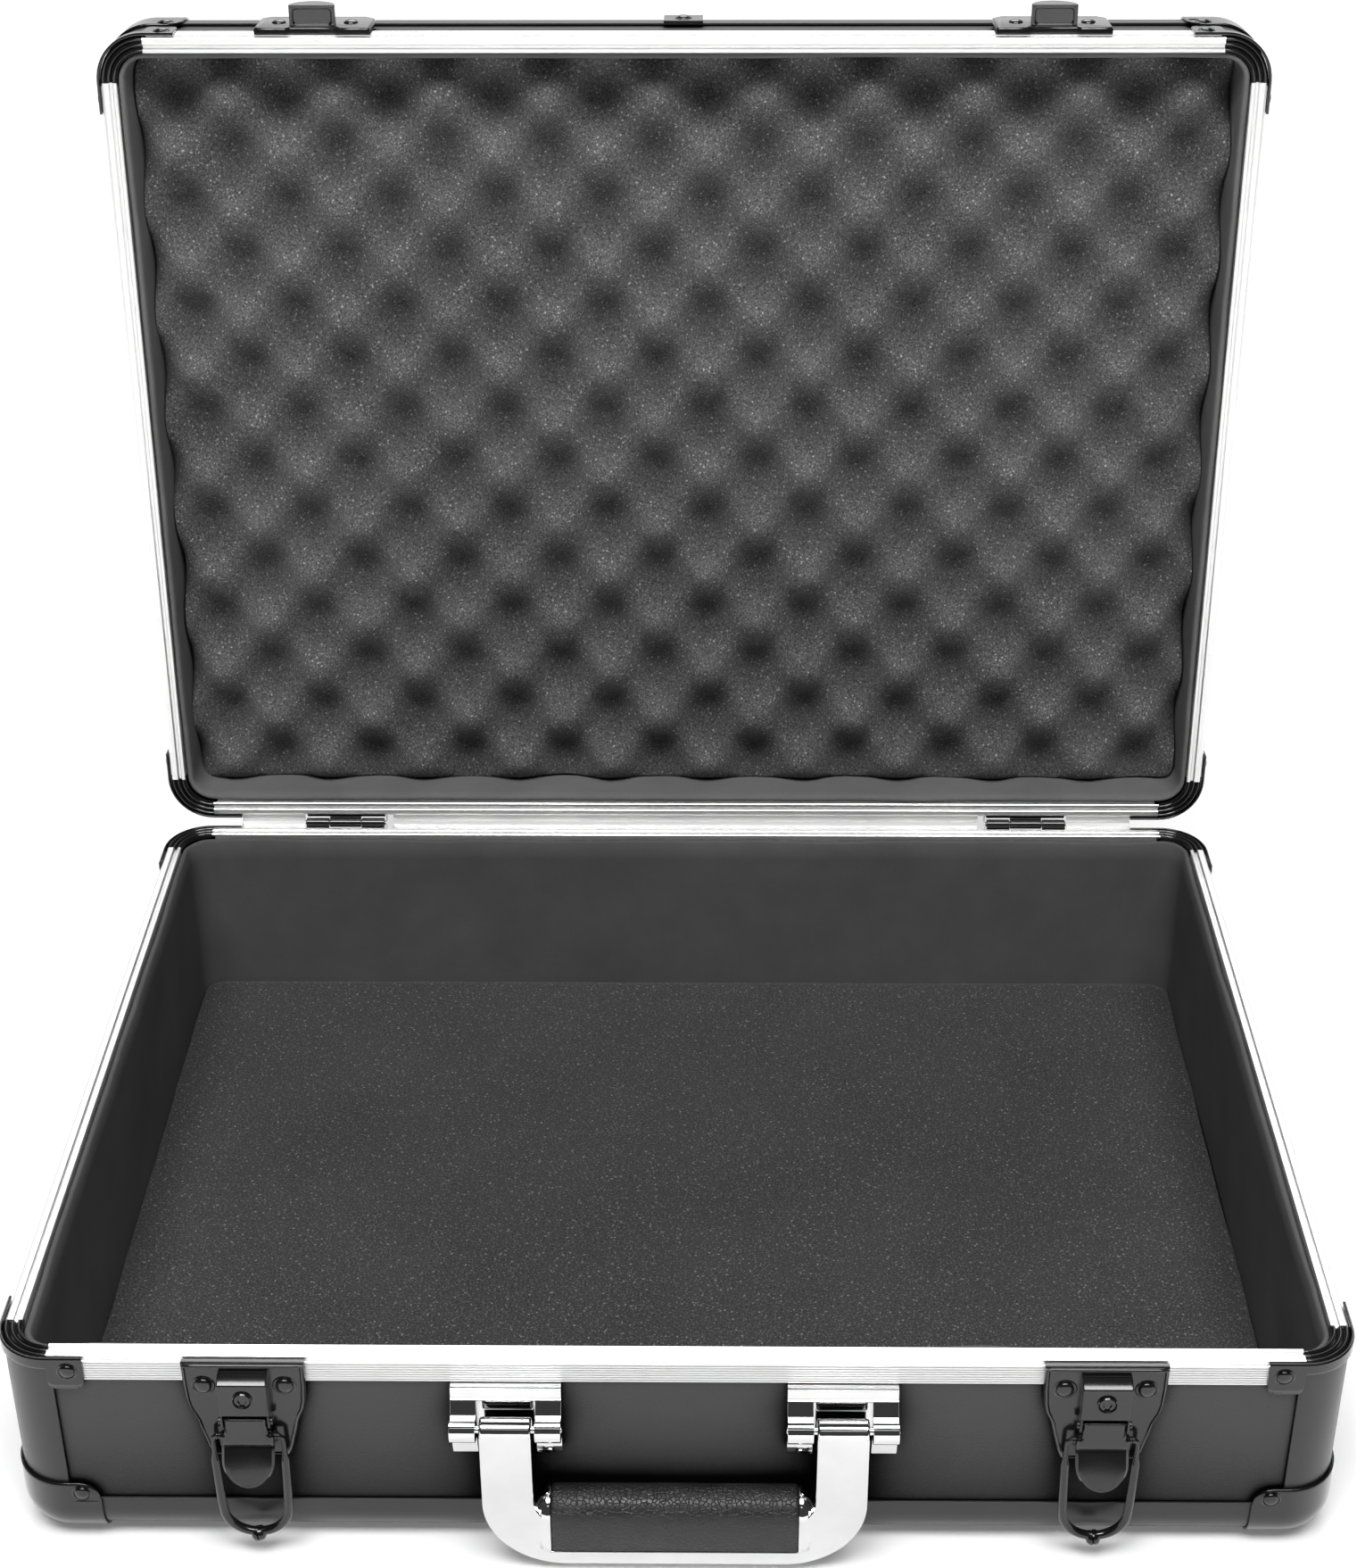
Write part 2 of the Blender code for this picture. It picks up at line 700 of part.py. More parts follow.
def build_latch_plate(name, location):
    """A pan with returned edges, a raised lock housing and two cheeks that carry the lever's pivot."""
    half, wall = HOUSING_HALF, LATCH_PAN
    inner, ceiling = half - wall, -HOUSING_TOP - wall
    pan_back = -LATCH_FACE + SINK
    plate = prism([latch_outline(0.0)], -LATCH_FACE, -GAP, "XZ", name)
    plate = cut(plate, prism([latch_outline(wall)], -LATCH_FACE + wall, PAST, "XZ"))
    plate = cut(plate, box((-inner, -PAST, -CHEEK_LOW - 2 * wall), (inner, PAST, ceiling)))
    housing = box((-half, -HOUSING_FACE, -HOUSING_LOW), (half, pan_back, -HOUSING_TOP))
    for side in (-1, 1):
        low, high = sorted((side * half, side * inner))
        cheek = box((low, -HOUSING_FACE, -CHEEK_LOW), (high, pan_back, -HOUSING_LOW + SINK))
        housing = joined(housing, cheek)
    hollow = box((-inner, -HOUSING_FACE + wall, -CHEEK_LOW - PAST), (inner, PAST, ceiling))
    plate = joined(plate, cut(housing, hollow))
    for across in (-LATCH_RIVET[0], LATCH_RIVET[0]):
        plate = joined(plate, rivet((across, LATCH_RIVET[1]), -LATCH_FACE, radius=LATCH_RIVET_RADIUS))
    bore = cylinder((0, -HOUSING_FACE, -LOCK_DROP), LOCK_RADIUS + GAP, 4 * wall, "Y")
    pivot = cylinder((0, -LEVER_AXIS[0], -LEVER_AXIS[1]), PIN_RADIUS + GAP, 2 * PAST, "X", sides=12)
    plate = cut(plate, bore, pivot)
    plate.name = name
    return finish(plate, "hardware", location)


def build_lock_cylinder(name, location):
    middle = -LOCK_FACE + LOCK_LENGTH / 2
    core = cylinder((0, middle, 0), LOCK_RADIUS, LOCK_LENGTH, "Y", sides=20, name=name)
    keyway_back = -LOCK_FACE + KEYWAY_DEPTH
    keyway = box((-KEYWAY_HALF, -PAST, -0.0024), (KEYWAY_HALF, keyway_back, 0.0010))
    core = cut(core, keyway)
    core.name = name
    return finish(core, "hardware", location)


def lever_section():
    """Side view of the lever's front sheet: flat, then hollow, then flared out at the thumb tip."""
    outside = [(-LEVER_FACE, -LEVER_TOP), (-LEVER_FACE, -LEVER_CREASE)]
    for t in (0.2, 0.4, 0.6, 0.8, 1.0):
        depth = LEVER_HOLLOW * math.sin(math.pi * t) - LEVER_FLARE * t * t
        outside.append((-LEVER_FACE + depth, -LEVER_CREASE - LEVER_TONGUE * t))
    inside = [(y + LEVER_SHEET, z) for y, z in reversed(outside)]
    return outside + inside


def lever_outline():
    """Front view of the lever, with ears below the cheeks and a round tip."""
    tip_z = -LEVER_CREASE - LEVER_TONGUE + LEVER_TIP_RADIUS + 0.0002
    tip = arc((0, tip_z), LEVER_TIP_RADIUS, 0, -90, steps=4)
    neck, ear = LEVER_NECK_HALF, LEVER_EAR_HALF
    return mirror_outline([(neck, -0.0200), (neck, -0.0266), (ear, -0.0284), (ear, -0.0340), *tip])


def build_lever(name, location):
    sheet = prism([lever_section()], -PAST, PAST, "YZ", name)
    sheet = kept_inside(sheet, prism([lever_outline()], -PAST, 0.0, "XZ"))
    front = -LEVER_FACE + LEVER_SHEET / 4
    for side in (-1, 1):
        for half, top, low in ((LEVER_NECK_HALF, 0.0210, 0.0266), (LEVER_EAR_HALF, 0.0284, 0.0325)):
            near, far = sorted((side * (half - LEVER_SHEET), side * half))
            sheet = joined(sheet, box((near, front, -low), (far, -LEVER_EAR_BACK, -top)))
    pin = cylinder((0, -LEVER_AXIS[0], -LEVER_AXIS[1]), PIN_RADIUS, LEVER_PIN_LENGTH, "X", sides=12)
    sheet = joined(sheet, pin)
    eye = cylinder((0, -BAIL_AXIS[0], -BAIL_AXIS[1]), BAIL_WIRE / 2 + GAP, 2 * PAST, "X", sides=10)
    sheet = cut(sheet, eye)
    sheet.name = name
    sheet = move_origin(sheet, (0, -LEVER_AXIS[0], -LEVER_AXIS[1]))
    place = Vector(location) + sheet.location
    return finish(sheet, "hardware", place)


def build_bail(name, location):
    """The wire loop: thin inturned ends through the lever's ears, then a thick U."""
    y, z = -BAIL_AXIS[0], -BAIL_AXIS[1]
    low = z - BAIL_DROP
    end, neck = (BAIL_HALF - 0.0050, z, 0.5), (BAIL_HALF - 0.0016, z, 0.5)
    right = [end, neck, (BAIL_HALF - 0.0003, z - 0.0008, 0.5), (BAIL_HALF, z - 0.0022, 0.5)]
    right += [(BAIL_HALF, z - 0.0085, 0.6), (BAIL_HALF, z - 0.0105, 1.0)]
    right += [(BAIL_HALF - 0.0004, z - 0.0300, 1.0)]
    right += [(x, height, 1.0) for x, height in arc((0, low + BAIL_BEND), BAIL_BEND, -15, -90)]
    route = right + [(-x, height, r) for x, height, r in reversed(right[:-1])]
    curve = bpy.data.curves.new(name, "CURVE")
    curve.dimensions = "3D"
    curve.bevel_depth = BAIL_WIRE
    curve.bevel_resolution = 2
    curve.use_fill_caps = True
    spline = curve.splines.new("POLY")
    spline.points.add(len(route) - 1)
    for point, (x, height, radius) in zip(spline.points, route):
        point.co = (x, 0.0, height - z, 1.0)
        point.radius = radius
    guide = bpy.data.objects.new(name, curve)
    PARTS.objects.link(guide)
    bail = baked(guide)
    return finish(bail, "hardware", Vector(location) + Vector((0, y, z)))


def keeper_outline(shrink):
    half, high = KEEPER_HALF - shrink, KEEPER_HIGH - shrink
    return mirror_outline([
        (KEEPER_HALF - KEEPER_BEVEL, high),
        (half, KEEPER_HIGH - KEEPER_BEVEL),
        (half, KEEPER_LOW + shrink),
    ])


def hood_outline():
    """Front view of the hood: its round top fits inside the bend of the bail."""
    corner = math.degrees(math.acos(HOOD_HALF / HOOD_ROUND))
    top = arc((0, HOOD_HIGH - HOOD_ROUND), HOOD_ROUND, 90, corner)
    return mirror_outline([*top, (HOOD_HALF, HOOD_LOW)])


def build_keeper(name, x, lid_closed):
    """The catch on the lid: a pan with returned edges and a hood, open at the top, for the bail."""
    face = -KEEPER_FACE
    keeper = prism([keeper_outline(0.0)], face, -GAP, "XZ", name)
    keeper = cut(keeper, prism([keeper_outline(PLATE)], face + PLATE, PAST, "XZ"))
    keeper = joined(keeper, prism([hood_outline()], -HOOD_FACE, face + SINK, "XZ"))
    inner, sheet = HOOD_HALF - HOOD_SHEET, HOOD_SHEET
    hollow = box((-inner, -HOOD_FACE + sheet, HOOD_LOW + sheet), (inner, PAST, HOOD_HIGH + sheet))
    keeper = cut(keeper, hollow)
    for across in (-KEEPER_RIVET[0], KEEPER_RIVET[0]):
        keeper = joined(keeper, rivet((across, KEEPER_RIVET[1]), face, radius=LATCH_RIVET_RADIUS))
    keeper.name = name
    return finish(keeper, "hardware", (x, FRONT, RIM + GAP), lid_closed)


def build_latch(side_name, x, lid_closed):
    origin = (x, FRONT, RIM)
    build_latch_plate(f"latch_plate_{side_name}", origin)
    build_lock_cylinder(f"lock_cylinder_{side_name}", (x, FRONT, RIM - LOCK_DROP))
    build_lever(f"latch_lever_{side_name}", origin)
    build_bail(f"latch_bail_{side_name}", origin)
    build_keeper(f"latch_keeper_{side_name}", x, lid_closed)


# Handle, in a frame on the case's front plane at the height of the rim


def bracket_section():
    """Side view of a bracket: sloped top, round knuckle at the pin, tapered foot."""
    y, z = -HANDLE_AXIS[0], -HANDLE_AXIS[1]
    back = BOARD_INSET - GAP
    knuckle = arc((y + SINK, z), 0.0048, 125, 235, steps=6)
    top = [(back, -BRACKET_TOP), (-0.0010, -BRACKET_TOP), (-0.0052, -0.0124), (-0.0060, -0.0186)]
    foot = [(-0.0050, -0.0300), (-0.0034, -BRACKET_LOW), (back, -BRACKET_LOW)]
    return top + knuckle + foot


def build_bracket(name, x):
    """A bracket with two lugs. The strap hangs between them, in front of a back plate."""
    y, z = -HANDLE_AXIS[0], -HANDLE_AXIS[1]
    opening = STRAP / 2 + 4 * GAP
    back_plate, window_top, plate_low = 0.0012, 0.0152, 0.0330
    bracket = prism([bracket_section()], -BRACKET_HALF, BRACKET_HALF, "YZ", name)
    bracket = cut(
        bracket,
        box((-opening, -PAST, -BRACKET_LOW - PAST), (opening, -back_plate, -window_top)),
        box((-opening, -PAST, -BRACKET_LOW - PAST), (opening, PAST, -plate_low)),
        cylinder((0, y, z), PIN_RADIUS + GAP, 4 * BRACKET_HALF, "X", sides=12),
    )
    bracket.name = name
    return finish(bracket, "chrome", (x, FRONT, RIM))


def handle_outline():
    """Front view of the frame: two straps joined by a bar, with round outer and inner corners."""
    outer, inner = HANDLE_X + STRAP / 2, HANDLE_X - STRAP / 2
    top = -HANDLE_AXIS[1]
    right = [(outer, top)]
    right += arc((outer - OUTER_BEND, -HANDLE_LOW + OUTER_BEND), OUTER_BEND, 0, -90, steps=8)
    right_inner = arc((inner - INNER_FILLET, -BAR_TOP + INNER_FILLET), INNER_FILLET, -90, 0)
    left = [(-x, z) for x, z in reversed(right)]
    left_inner = [(-x, z) for x, z in reversed(right_inner)]
    return [*right, *left, (-inner, top), *left_inner, *right_inner, (inner, top)]


def core_room(gap):
    """The block inside the grip that the bar's core fills, less or more a gap."""
    half = GRIP_LENGTH / 2 + GAP + SINK
    return (-half, -CORE_FRONT - gap, -GRIP_LOW - 4 * SINK), (half, -CORE_BACK + gap, -CORE_TOP + gap)


def build_handle_frame(origin):
    y, z = -HANDLE_AXIS[0], -HANDLE_AXIS[1]
    frame = prism([handle_outline()], -STRAP_FRONT, -STRAP_BACK, "XZ", "handle_frame")
    for x in (-HANDLE_X, HANDLE_X):
        frame = joined(frame, cylinder((x, y, z), KNUCKLE_RADIUS, STRAP, "X"))
    front, back = -STRAP_BACK - 2 * SINK, -GRIP_BACK - 2 * SINK
    end = HANDLE_X - STRAP / 2 + 0.004
    bar = [(front, -HANDLE_LOW + 0.002), (back, -HANDLE_LOW + 0.004), (back, -0.0600),
           (-0.0052, -0.0563), (front, -0.0592)]
    frame = joined(frame, prism([bar], -end, end, "YZ"))
    half = GRIP_LENGTH / 2 + GAP
    frame = cut(frame, box((-half, -PAST, -GRIP_LOW - GAP), (half, 0.0, -BAR_TOP + PAST)))
    frame = joined(frame, box(*core_room(0.0)))
    frame = cut(frame, cylinder((0, y, z), PIN_RADIUS + GAP, CASE_WIDTH, "X", sides=12))
    frame.name = "handle_frame"
    frame = move_origin(frame, (0, y, z))
    return finish(frame, "chrome", Vector(origin) + frame.location)


def grip_section():
    """Side view of the grip: flat front, round top, flat back."""
    middle = (-GRIP_FRONT + GRIP_RADIUS, -GRIP_ROUND_Z)
    back_angle = math.degrees(math.acos((-GRIP_BACK - middle[0]) / GRIP_RADIUS))
    top = arc(middle, GRIP_RADIUS, 180, back_angle, steps=8)
    return [(-GRIP_FRONT, -GRIP_LOW), *top, (-GRIP_BACK, -GRIP_LOW)]


def build_grip(origin):
    half = GRIP_LENGTH / 2
    grip = prism([grip_section()], -half, half, "YZ", "handle_grip")
    grip = cut(grip, box(*core_room(GAP)))
    grip.name = "handle_grip"
    grip = move_origin(grip, (0, -HANDLE_AXIS[0], -HANDLE_AXIS[1]))
    return finish(grip, "leather", Vector(origin) + grip.location)


def build_handle():
    origin = (0, FRONT, RIM)
    for side_name, x in (("left", -HANDLE_X), ("right", HANDLE_X)):
        build_bracket(f"handle_bracket_{side_name}", x)
        pin_name = f"handle_pin_{side_name}"
        pin = cylinder((0, 0, 0), PIN_RADIUS, HANDLE_PIN_LENGTH, "X", sides=12, name=pin_name)
        finish(pin, "chrome", (x, FRONT - HANDLE_AXIS[0], RIM - HANDLE_AXIS[1]))
    build_handle_frame(origin)
    build_grip(origin)


def build_case():
    base_rim = add_empty("base_rim", (0, 0, RIM))
    lid_pivot = add_empty("lid_pivot", (0, HINGE_Y, HINGE_Z), turn_x=-LID_OPEN)
    lid_closed = add_empty("lid_closed", (0, -HINGE_Y, -HINGE_Z), lid_pivot)
    lid_rim = add_empty("lid_rim", (0, 0, RIM + GAP), lid_closed, turn_x=math.pi)

    tray_panel("base_bottom_panel", BASE_HEIGHT, base_rim)
    build_tray("base", BASE_HEIGHT, base_rim, flipped=False)
    posts = corner_post_solid(BASE_HEIGHT, SHEET)
    place_corners(posts, "black_metal", "base", "corner_post", base_rim, False)
    tray_foam("base_foam_pad", BASE_HEIGHT, BASE_PAD, base_rim)

    tray_panel("lid_top_panel", LID_HEIGHT, lid_rim)
    build_tray("lid", LID_HEIGHT, lid_rim, flipped=True)
    tray_foam("lid_egg_foam", LID_HEIGHT, LID_FOAM, lid_rim)

    for side_name, sign in (("left", -1), ("right", 1)):
        build_hinge(side_name, sign * HINGE_X, lid_pivot)
        build_latch(side_name, sign * LATCH_X, lid_closed)
    build_handle()


build_case()
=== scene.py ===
"""The looks of the open attache case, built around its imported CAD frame."""

import json
from math import acos, copysign, cos, degrees, inf, pi, radians, sin, sqrt

import bmesh
import bpy
import numpy as np
from mathutils import Matrix, Vector, noise

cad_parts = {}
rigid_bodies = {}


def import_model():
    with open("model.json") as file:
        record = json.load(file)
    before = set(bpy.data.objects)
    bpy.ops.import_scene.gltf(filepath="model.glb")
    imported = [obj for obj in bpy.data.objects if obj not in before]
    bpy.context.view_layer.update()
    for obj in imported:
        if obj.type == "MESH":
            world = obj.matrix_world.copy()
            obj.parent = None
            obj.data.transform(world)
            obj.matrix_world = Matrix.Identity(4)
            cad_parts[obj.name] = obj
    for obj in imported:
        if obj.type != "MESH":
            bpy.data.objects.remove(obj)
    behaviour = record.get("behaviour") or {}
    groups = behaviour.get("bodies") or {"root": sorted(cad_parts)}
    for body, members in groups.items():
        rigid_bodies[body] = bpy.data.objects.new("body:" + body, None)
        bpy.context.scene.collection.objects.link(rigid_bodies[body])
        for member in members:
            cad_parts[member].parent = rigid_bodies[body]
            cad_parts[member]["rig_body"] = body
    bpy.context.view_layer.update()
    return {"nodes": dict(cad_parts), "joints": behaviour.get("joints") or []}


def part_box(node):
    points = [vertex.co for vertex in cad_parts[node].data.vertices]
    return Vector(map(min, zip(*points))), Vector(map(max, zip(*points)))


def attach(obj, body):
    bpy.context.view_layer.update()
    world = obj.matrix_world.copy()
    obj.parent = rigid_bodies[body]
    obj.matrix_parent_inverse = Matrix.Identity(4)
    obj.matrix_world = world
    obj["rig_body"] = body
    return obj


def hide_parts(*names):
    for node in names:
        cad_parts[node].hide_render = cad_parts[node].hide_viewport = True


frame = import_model()

# The frame's own measures

EDGE_LOW, EDGE_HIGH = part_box("base_edge_frame")
HALF_X, HALF_Y = EDGE_HIGH.x, EDGE_HIGH.y
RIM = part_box("base_rail_left")[1].z
BASE_HEIGHT = RIM - EDGE_LOW.z
FRONT = -HALF_Y
JOINTS = {joint["name"]: joint for joint in frame["joints"]}
HINGE = Vector(JOINTS["lid_hinge"]["pos_m"])
LID_OPEN = radians(JOINTS["lid_hinge"]["range_deg"][1])
LATCH_X = JOINTS["lever_right_pivot"]["pos_m"][0]
HINGE_X = sum(corner.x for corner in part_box("hinge_pin_right")) / 2
HANDLE_X = sum(corner.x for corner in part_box("handle_pin_right")) / 2

# Sizes shared by several pieces, in metres

GAP = 0.0003
LID_HEIGHT = 0.0455
CORNER_RADIUS = 0.018
EDGE_RADIUS = 0.014
EDGE_LEG = 0.0195
SHEET = 0.0009
PROUD = 0.0011
PLATE = 0.0008
RIM_WIDTH = 0.0068
RIM_WEB = 0.0022
VALANCE = 0.0104
RIM_CORNER_LEG = 0.0305
LINING_INSET = 0.0071
LINING = 0.0022
PANEL = 0.0055
HINGE_BACK = 0.0030
ARC = 12

# Frames: the base's rim, the hinge line turned with the open lid, the turn that takes the closed lid to
# rest, and the lid's rim

BASE_RIM = Matrix.Translation((0, 0, RIM))
LID_PIVOT = Matrix.Translation(HINGE) @ Matrix.Rotation(-LID_OPEN, 4, "X")
LID_CLOSED = LID_PIVOT @ Matrix.Translation(-HINGE)
LID_RIM = LID_CLOSED @ Matrix.Translation((0, 0, RIM + GAP)) @ Matrix.Rotation(pi, 4, "X")


# Materials


class Look:
    """A procedural material: its node tree, built a step at a time in the object's own metres."""

    def __init__(self, name, slot):
        self.slot = slot
        self.material = bpy.data.materials.new(name)
        self.material.use_nodes = True
        self.tree = self.material.node_tree
        self.surface = self.tree.nodes["Principled BSDF"]
        self.place = self.tree.nodes.new("ShaderNodeTexCoord").outputs["Object"]

    def add(self, kind, **inputs):
        node = self.tree.nodes.new(kind)
        for name, value in inputs.items():
            self.put(node.inputs[name.replace("_", " ")], value)
        return node

    def put(self, socket, value):
        if isinstance(value, bpy.types.NodeSocket):
            self.tree.links.new(value, socket)
        else:
            socket.default_value = value

    def noise(self, scale, detail=4.0, stretch=None, roughness=0.6):
        where = self.place
        if stretch:
            where = self.add("ShaderNodeMapping", Vector=where, Scale=stretch).outputs["Vector"]
        node = self.add("ShaderNodeTexNoise", Vector=where, Scale=scale, Detail=detail, Roughness=roughness)
        return node.outputs["Fac"]

    def cells(self, scale, feature="F1"):
        node = self.add("ShaderNodeTexVoronoi", Vector=self.place, Scale=scale)
        node.feature = feature
        return node.outputs["Distance"]

    def span(self, value, low=0.0, high=1.0, start=0.3, end=0.7):
        """Takes start..end of a value to low..high."""
        node = self.add("ShaderNodeMapRange")
        names = ("Value", "From Min", "From Max", "To Min", "To Max")
        for name, given in zip(names, (value, start, end, low, high)):
            self.put(node.inputs[name], given)
        return node.outputs["Result"]

    def sum(self, first, second, operation="ADD"):
        node = self.add("ShaderNodeMath")
        node.operation = operation
        self.put(node.inputs[0], first)
        self.put(node.inputs[1], second)
        return node.outputs[0]

    def product(self, first, second):
        return self.sum(first, second, "MULTIPLY")

    def shade(self, factor, dark, light, warm=0.0):
        """A grey from dark to light, the light end tinted by warm."""
        node = self.add("ShaderNodeMix")
        node.data_type = "RGBA"
        self.put(node.inputs["Factor"], factor)
        self.put(node.inputs["A"], (dark, dark, dark, 1))
        self.put(node.inputs["B"], (light * (1 + warm), light, light * (1 - warm), 1))
        return node.outputs["Result"]

    def relief(self, height, distance, strength, under=None):
        """A bump of a height in metres, on top of the one under it."""
        node = self.add("ShaderNodeBump", Height=height, Distance=distance, Strength=strength)
        if under:
            self.put(node.inputs["Normal"], under)
        return node.outputs["Normal"]

    def set(self, **inputs):
        for name, value in inputs.items():
            self.put(self.surface.inputs[name.replace("_", " ")], value)
        return self


def board_look():
    """Grained laminate, with painted shade: its colour and reflection are darker where the surfaces nearby
    keep the light out.
    """
    look = Look("laminated board", "laminated_board")
    grain = look.cells(1500.0)
    cloud = look.noise(35.0, 6.0)
    tone = look.sum(look.span(grain, 0.0, 0.5, 0.1, 0.8), look.span(cloud, 0.0, 0.5))
    pores = look.relief(grain, 0.00016, 0.55)
    # Painted shade: ambient occlusion darkens the base colour and the reflection near other pieces, such as
    # round the handle.
    nearby = look.add("ShaderNodeAmbientOcclusion", Distance=0.07).outputs["AO"]
    painted_shade_factor = look.span(nearby, 0.0, 1.0, 0.48, 0.93)
    return look.set(
        Base_Color=look.shade(look.product(look.sum(tone, 0.6), painted_shade_factor), 0.003, 0.026),
        Roughness=look.span(cloud, 0.42, 0.50),
        Specular_IOR_Level=look.product(painted_shade_factor, 0.62),
        Normal=look.relief(look.noise(420.0, 3.0), 0.00010, 0.45, pores),
    )


def extrusion_look():
    look = Look("black extrusion", "black_extrusion")
    cloud = look.noise(22.0, 5.0)
    grit = look.noise(2600.0, 2.0)
    return look.set(
        Base_Color=look.shade(look.span(cloud), 0.012, 0.020),
        Roughness=look.sum(look.span(cloud, 0.30, 0.38), look.span(grit, 0.0, 0.06)),
        Specular_IOR_Level=0.5,
        Normal=look.relief(grit, 0.00003, 0.4),
        Coat_Weight=0.15,
        Coat_Roughness=0.3,
    )


def aluminium_look(name, stretch):
    """Satin metal with fine drawing lines along the axis whose stretch is lowest."""
    look = Look(name, "rim_aluminium")
    lines = look.noise(1.0, 3.0, stretch)
    cloud = look.noise(30.0, 4.0)
    return look.set(
        Base_Color=look.shade(look.span(cloud), 0.84, 0.90, 0.004),
        Metallic=0.9,
        Roughness=look.sum(look.span(lines, 0.28, 0.35), look.span(cloud, -0.02, 0.02)),
        Normal=look.relief(lines, 0.00001, 0.25),
    )


def hardware_look():
    look = Look("black steel", "black_steel")
    cloud = look.noise(45.0, 5.0)
    peel = look.noise(900.0, 2.0)
    return look.set(
        Base_Color=look.shade(look.span(cloud), 0.004, 0.009),
        Roughness=look.span(cloud, 0.15, 0.23),
        Specular_IOR_Level=0.45,
        Coat_Weight=0.45,
        Coat_Roughness=look.span(peel, 0.08, 0.15),
        Normal=look.relief(peel, 0.00004, 0.35),
    )


def chrome_look():
    look = Look("chrome plate", "chrome_plate")
    smear = look.noise(60.0, 6.0)
    return look.set(
        Base_Color=look.shade(look.span(smear), 0.72, 0.78),
        Metallic=1.0,
        Roughness=look.span(smear, 0.04, 0.08),
        Normal=look.relief(look.noise(260.0, 2.0), 0.00001, 0.12),
    )


def leather_look():
    look = Look("grip leather", "grip_leather")
    creases = look.cells(620.0, "DISTANCE_TO_EDGE")
    cloud = look.noise(90.0, 5.0)
    fold = look.relief(look.span(creases, 0.0, 1.0, 0.0, 0.12), 0.00018, 0.7)
    return look.set(
        Base_Color=look.shade(look.span(cloud), 0.012, 0.020),
        Roughness=look.span(cloud, 0.36, 0.5),
        Normal=look.relief(look.noise(1800.0, 3.0), 0.00006, 0.5, fold),
    )


def lining_look(name, dark, light):
    look = Look(name, "lining")
    cloud = look.noise(28.0, 6.0)
    nap = look.noise(2400.0, 3.0)
    tone = look.sum(look.span(cloud, 0.0, 0.6), look.span(nap, 0.0, 0.4))
    waves = look.relief(cloud, 0.0012, 0.35)
    return look.set(
        Base_Color=look.shade(tone, dark, light),
        Roughness=0.9,
        Specular_IOR_Level=0.12,
        Normal=look.relief(nap, 0.0001, 0.6, waves),
    )


def foam_look(name, dark, light, sparkle):
    """Open-cell foam: grain, pits and pale specks, with painted shade: darker where a piece's hollow
    attribute says so.
    """
    look = Look(name, "foam")
    coarse = look.span(look.cells(340.0), 1.0, 0.0, 0.08, 0.19)
    fine = look.span(look.cells(760.0), 1.0, 0.0, 0.12, 0.30)
    grain = look.noise(1150.0, 4.0, roughness=0.75)
    cloud = look.noise(18.0, 5.0)
    tone = look.sum(look.span(grain, 0.0, 0.30, 0.36, 0.64), look.span(cloud, -0.02, 0.03))
    specks = look.sum(look.product(coarse, sparkle), look.product(fine, sparkle * 0.6))
    # Painted shade: the base colour is scaled down in the foam's pits, by the hollow attribute.
    hollow = look.add("ShaderNodeAttribute")
    hollow.attribute_name = "hollow"
    shadow = look.span(hollow.outputs["Fac"], 1.0, 0.42, 0.0, 1.0)
    colour = look.shade(look.sum(tone, specks), dark, light)
    dimmed = look.add("ShaderNodeVectorMath")
    dimmed.operation = "SCALE"
    look.put(dimmed.inputs[0], colour)
    look.put(dimmed.inputs["Scale"], shadow)
    pits = look.relief(grain, 0.0005, 0.9)
    return look.set(
        Base_Color=dimmed.outputs[0],
        Roughness=0.95,
        Sheen_Weight=0.1,
        Sheen_Roughness=0.6,
        Specular_IOR_Level=0.2,
        Normal=look.relief(specks, 0.0003, 0.5, pits),
    )


ACROSS, ALONG = 2600.0, 2.5
LOOKS = {
    "board": board_look(),
    "extrusion": extrusion_look(),
    "metal_x": aluminium_look("rim aluminium along x", (ALONG, ACROSS, ACROSS)),
    "metal_y": aluminium_look("rim aluminium along y", (ACROSS, ALONG, ACROSS)),
    "metal_z": aluminium_look("rim aluminium along z", (ACROSS, ACROSS, ALONG)),
    "hardware": hardware_look(),
    "chrome": chrome_look(),
    "leather": leather_look(),
    # The lid's lining is the same cloth as the base's, painted lighter: painted light for the light that
    # falls on the lid.
    "lining": lining_look("base lining", 0.080, 0.118),
    "lid_lining": lining_look("lid lining", 0.120, 0.170),
    "foam": foam_look("egg foam", 0.030, 0.56, 0.7),
    "pad": foam_look("foam pad", 0.008, 0.22, 0.85),
}


# Forms


def arc(centre, radius, start, end, steps=ARC):
    angles = [radians(start + (end - start) * k / steps) for k in range(steps + 1)]
    return [(centre[0] + radius * cos(a), centre[1] + radius * sin(a)) for a in angles]


def mirrored(right):
    """Closes an outline given from the top centre down its right side."""
    return [*right, *[(-x, z) for x, z in reversed(right)]]


def span_on(side, near, far):
    """The low and high end of a span that lies on one side of the middle."""
    return sorted((side * near, side * far))


def spokes(across, up, count):
    """Unit vectors round a circle, in the plane of two axes."""
    turn = [2 * pi * k / count for k in range(count)]
    return [across * cos(a) + up * sin(a) for a in turn]


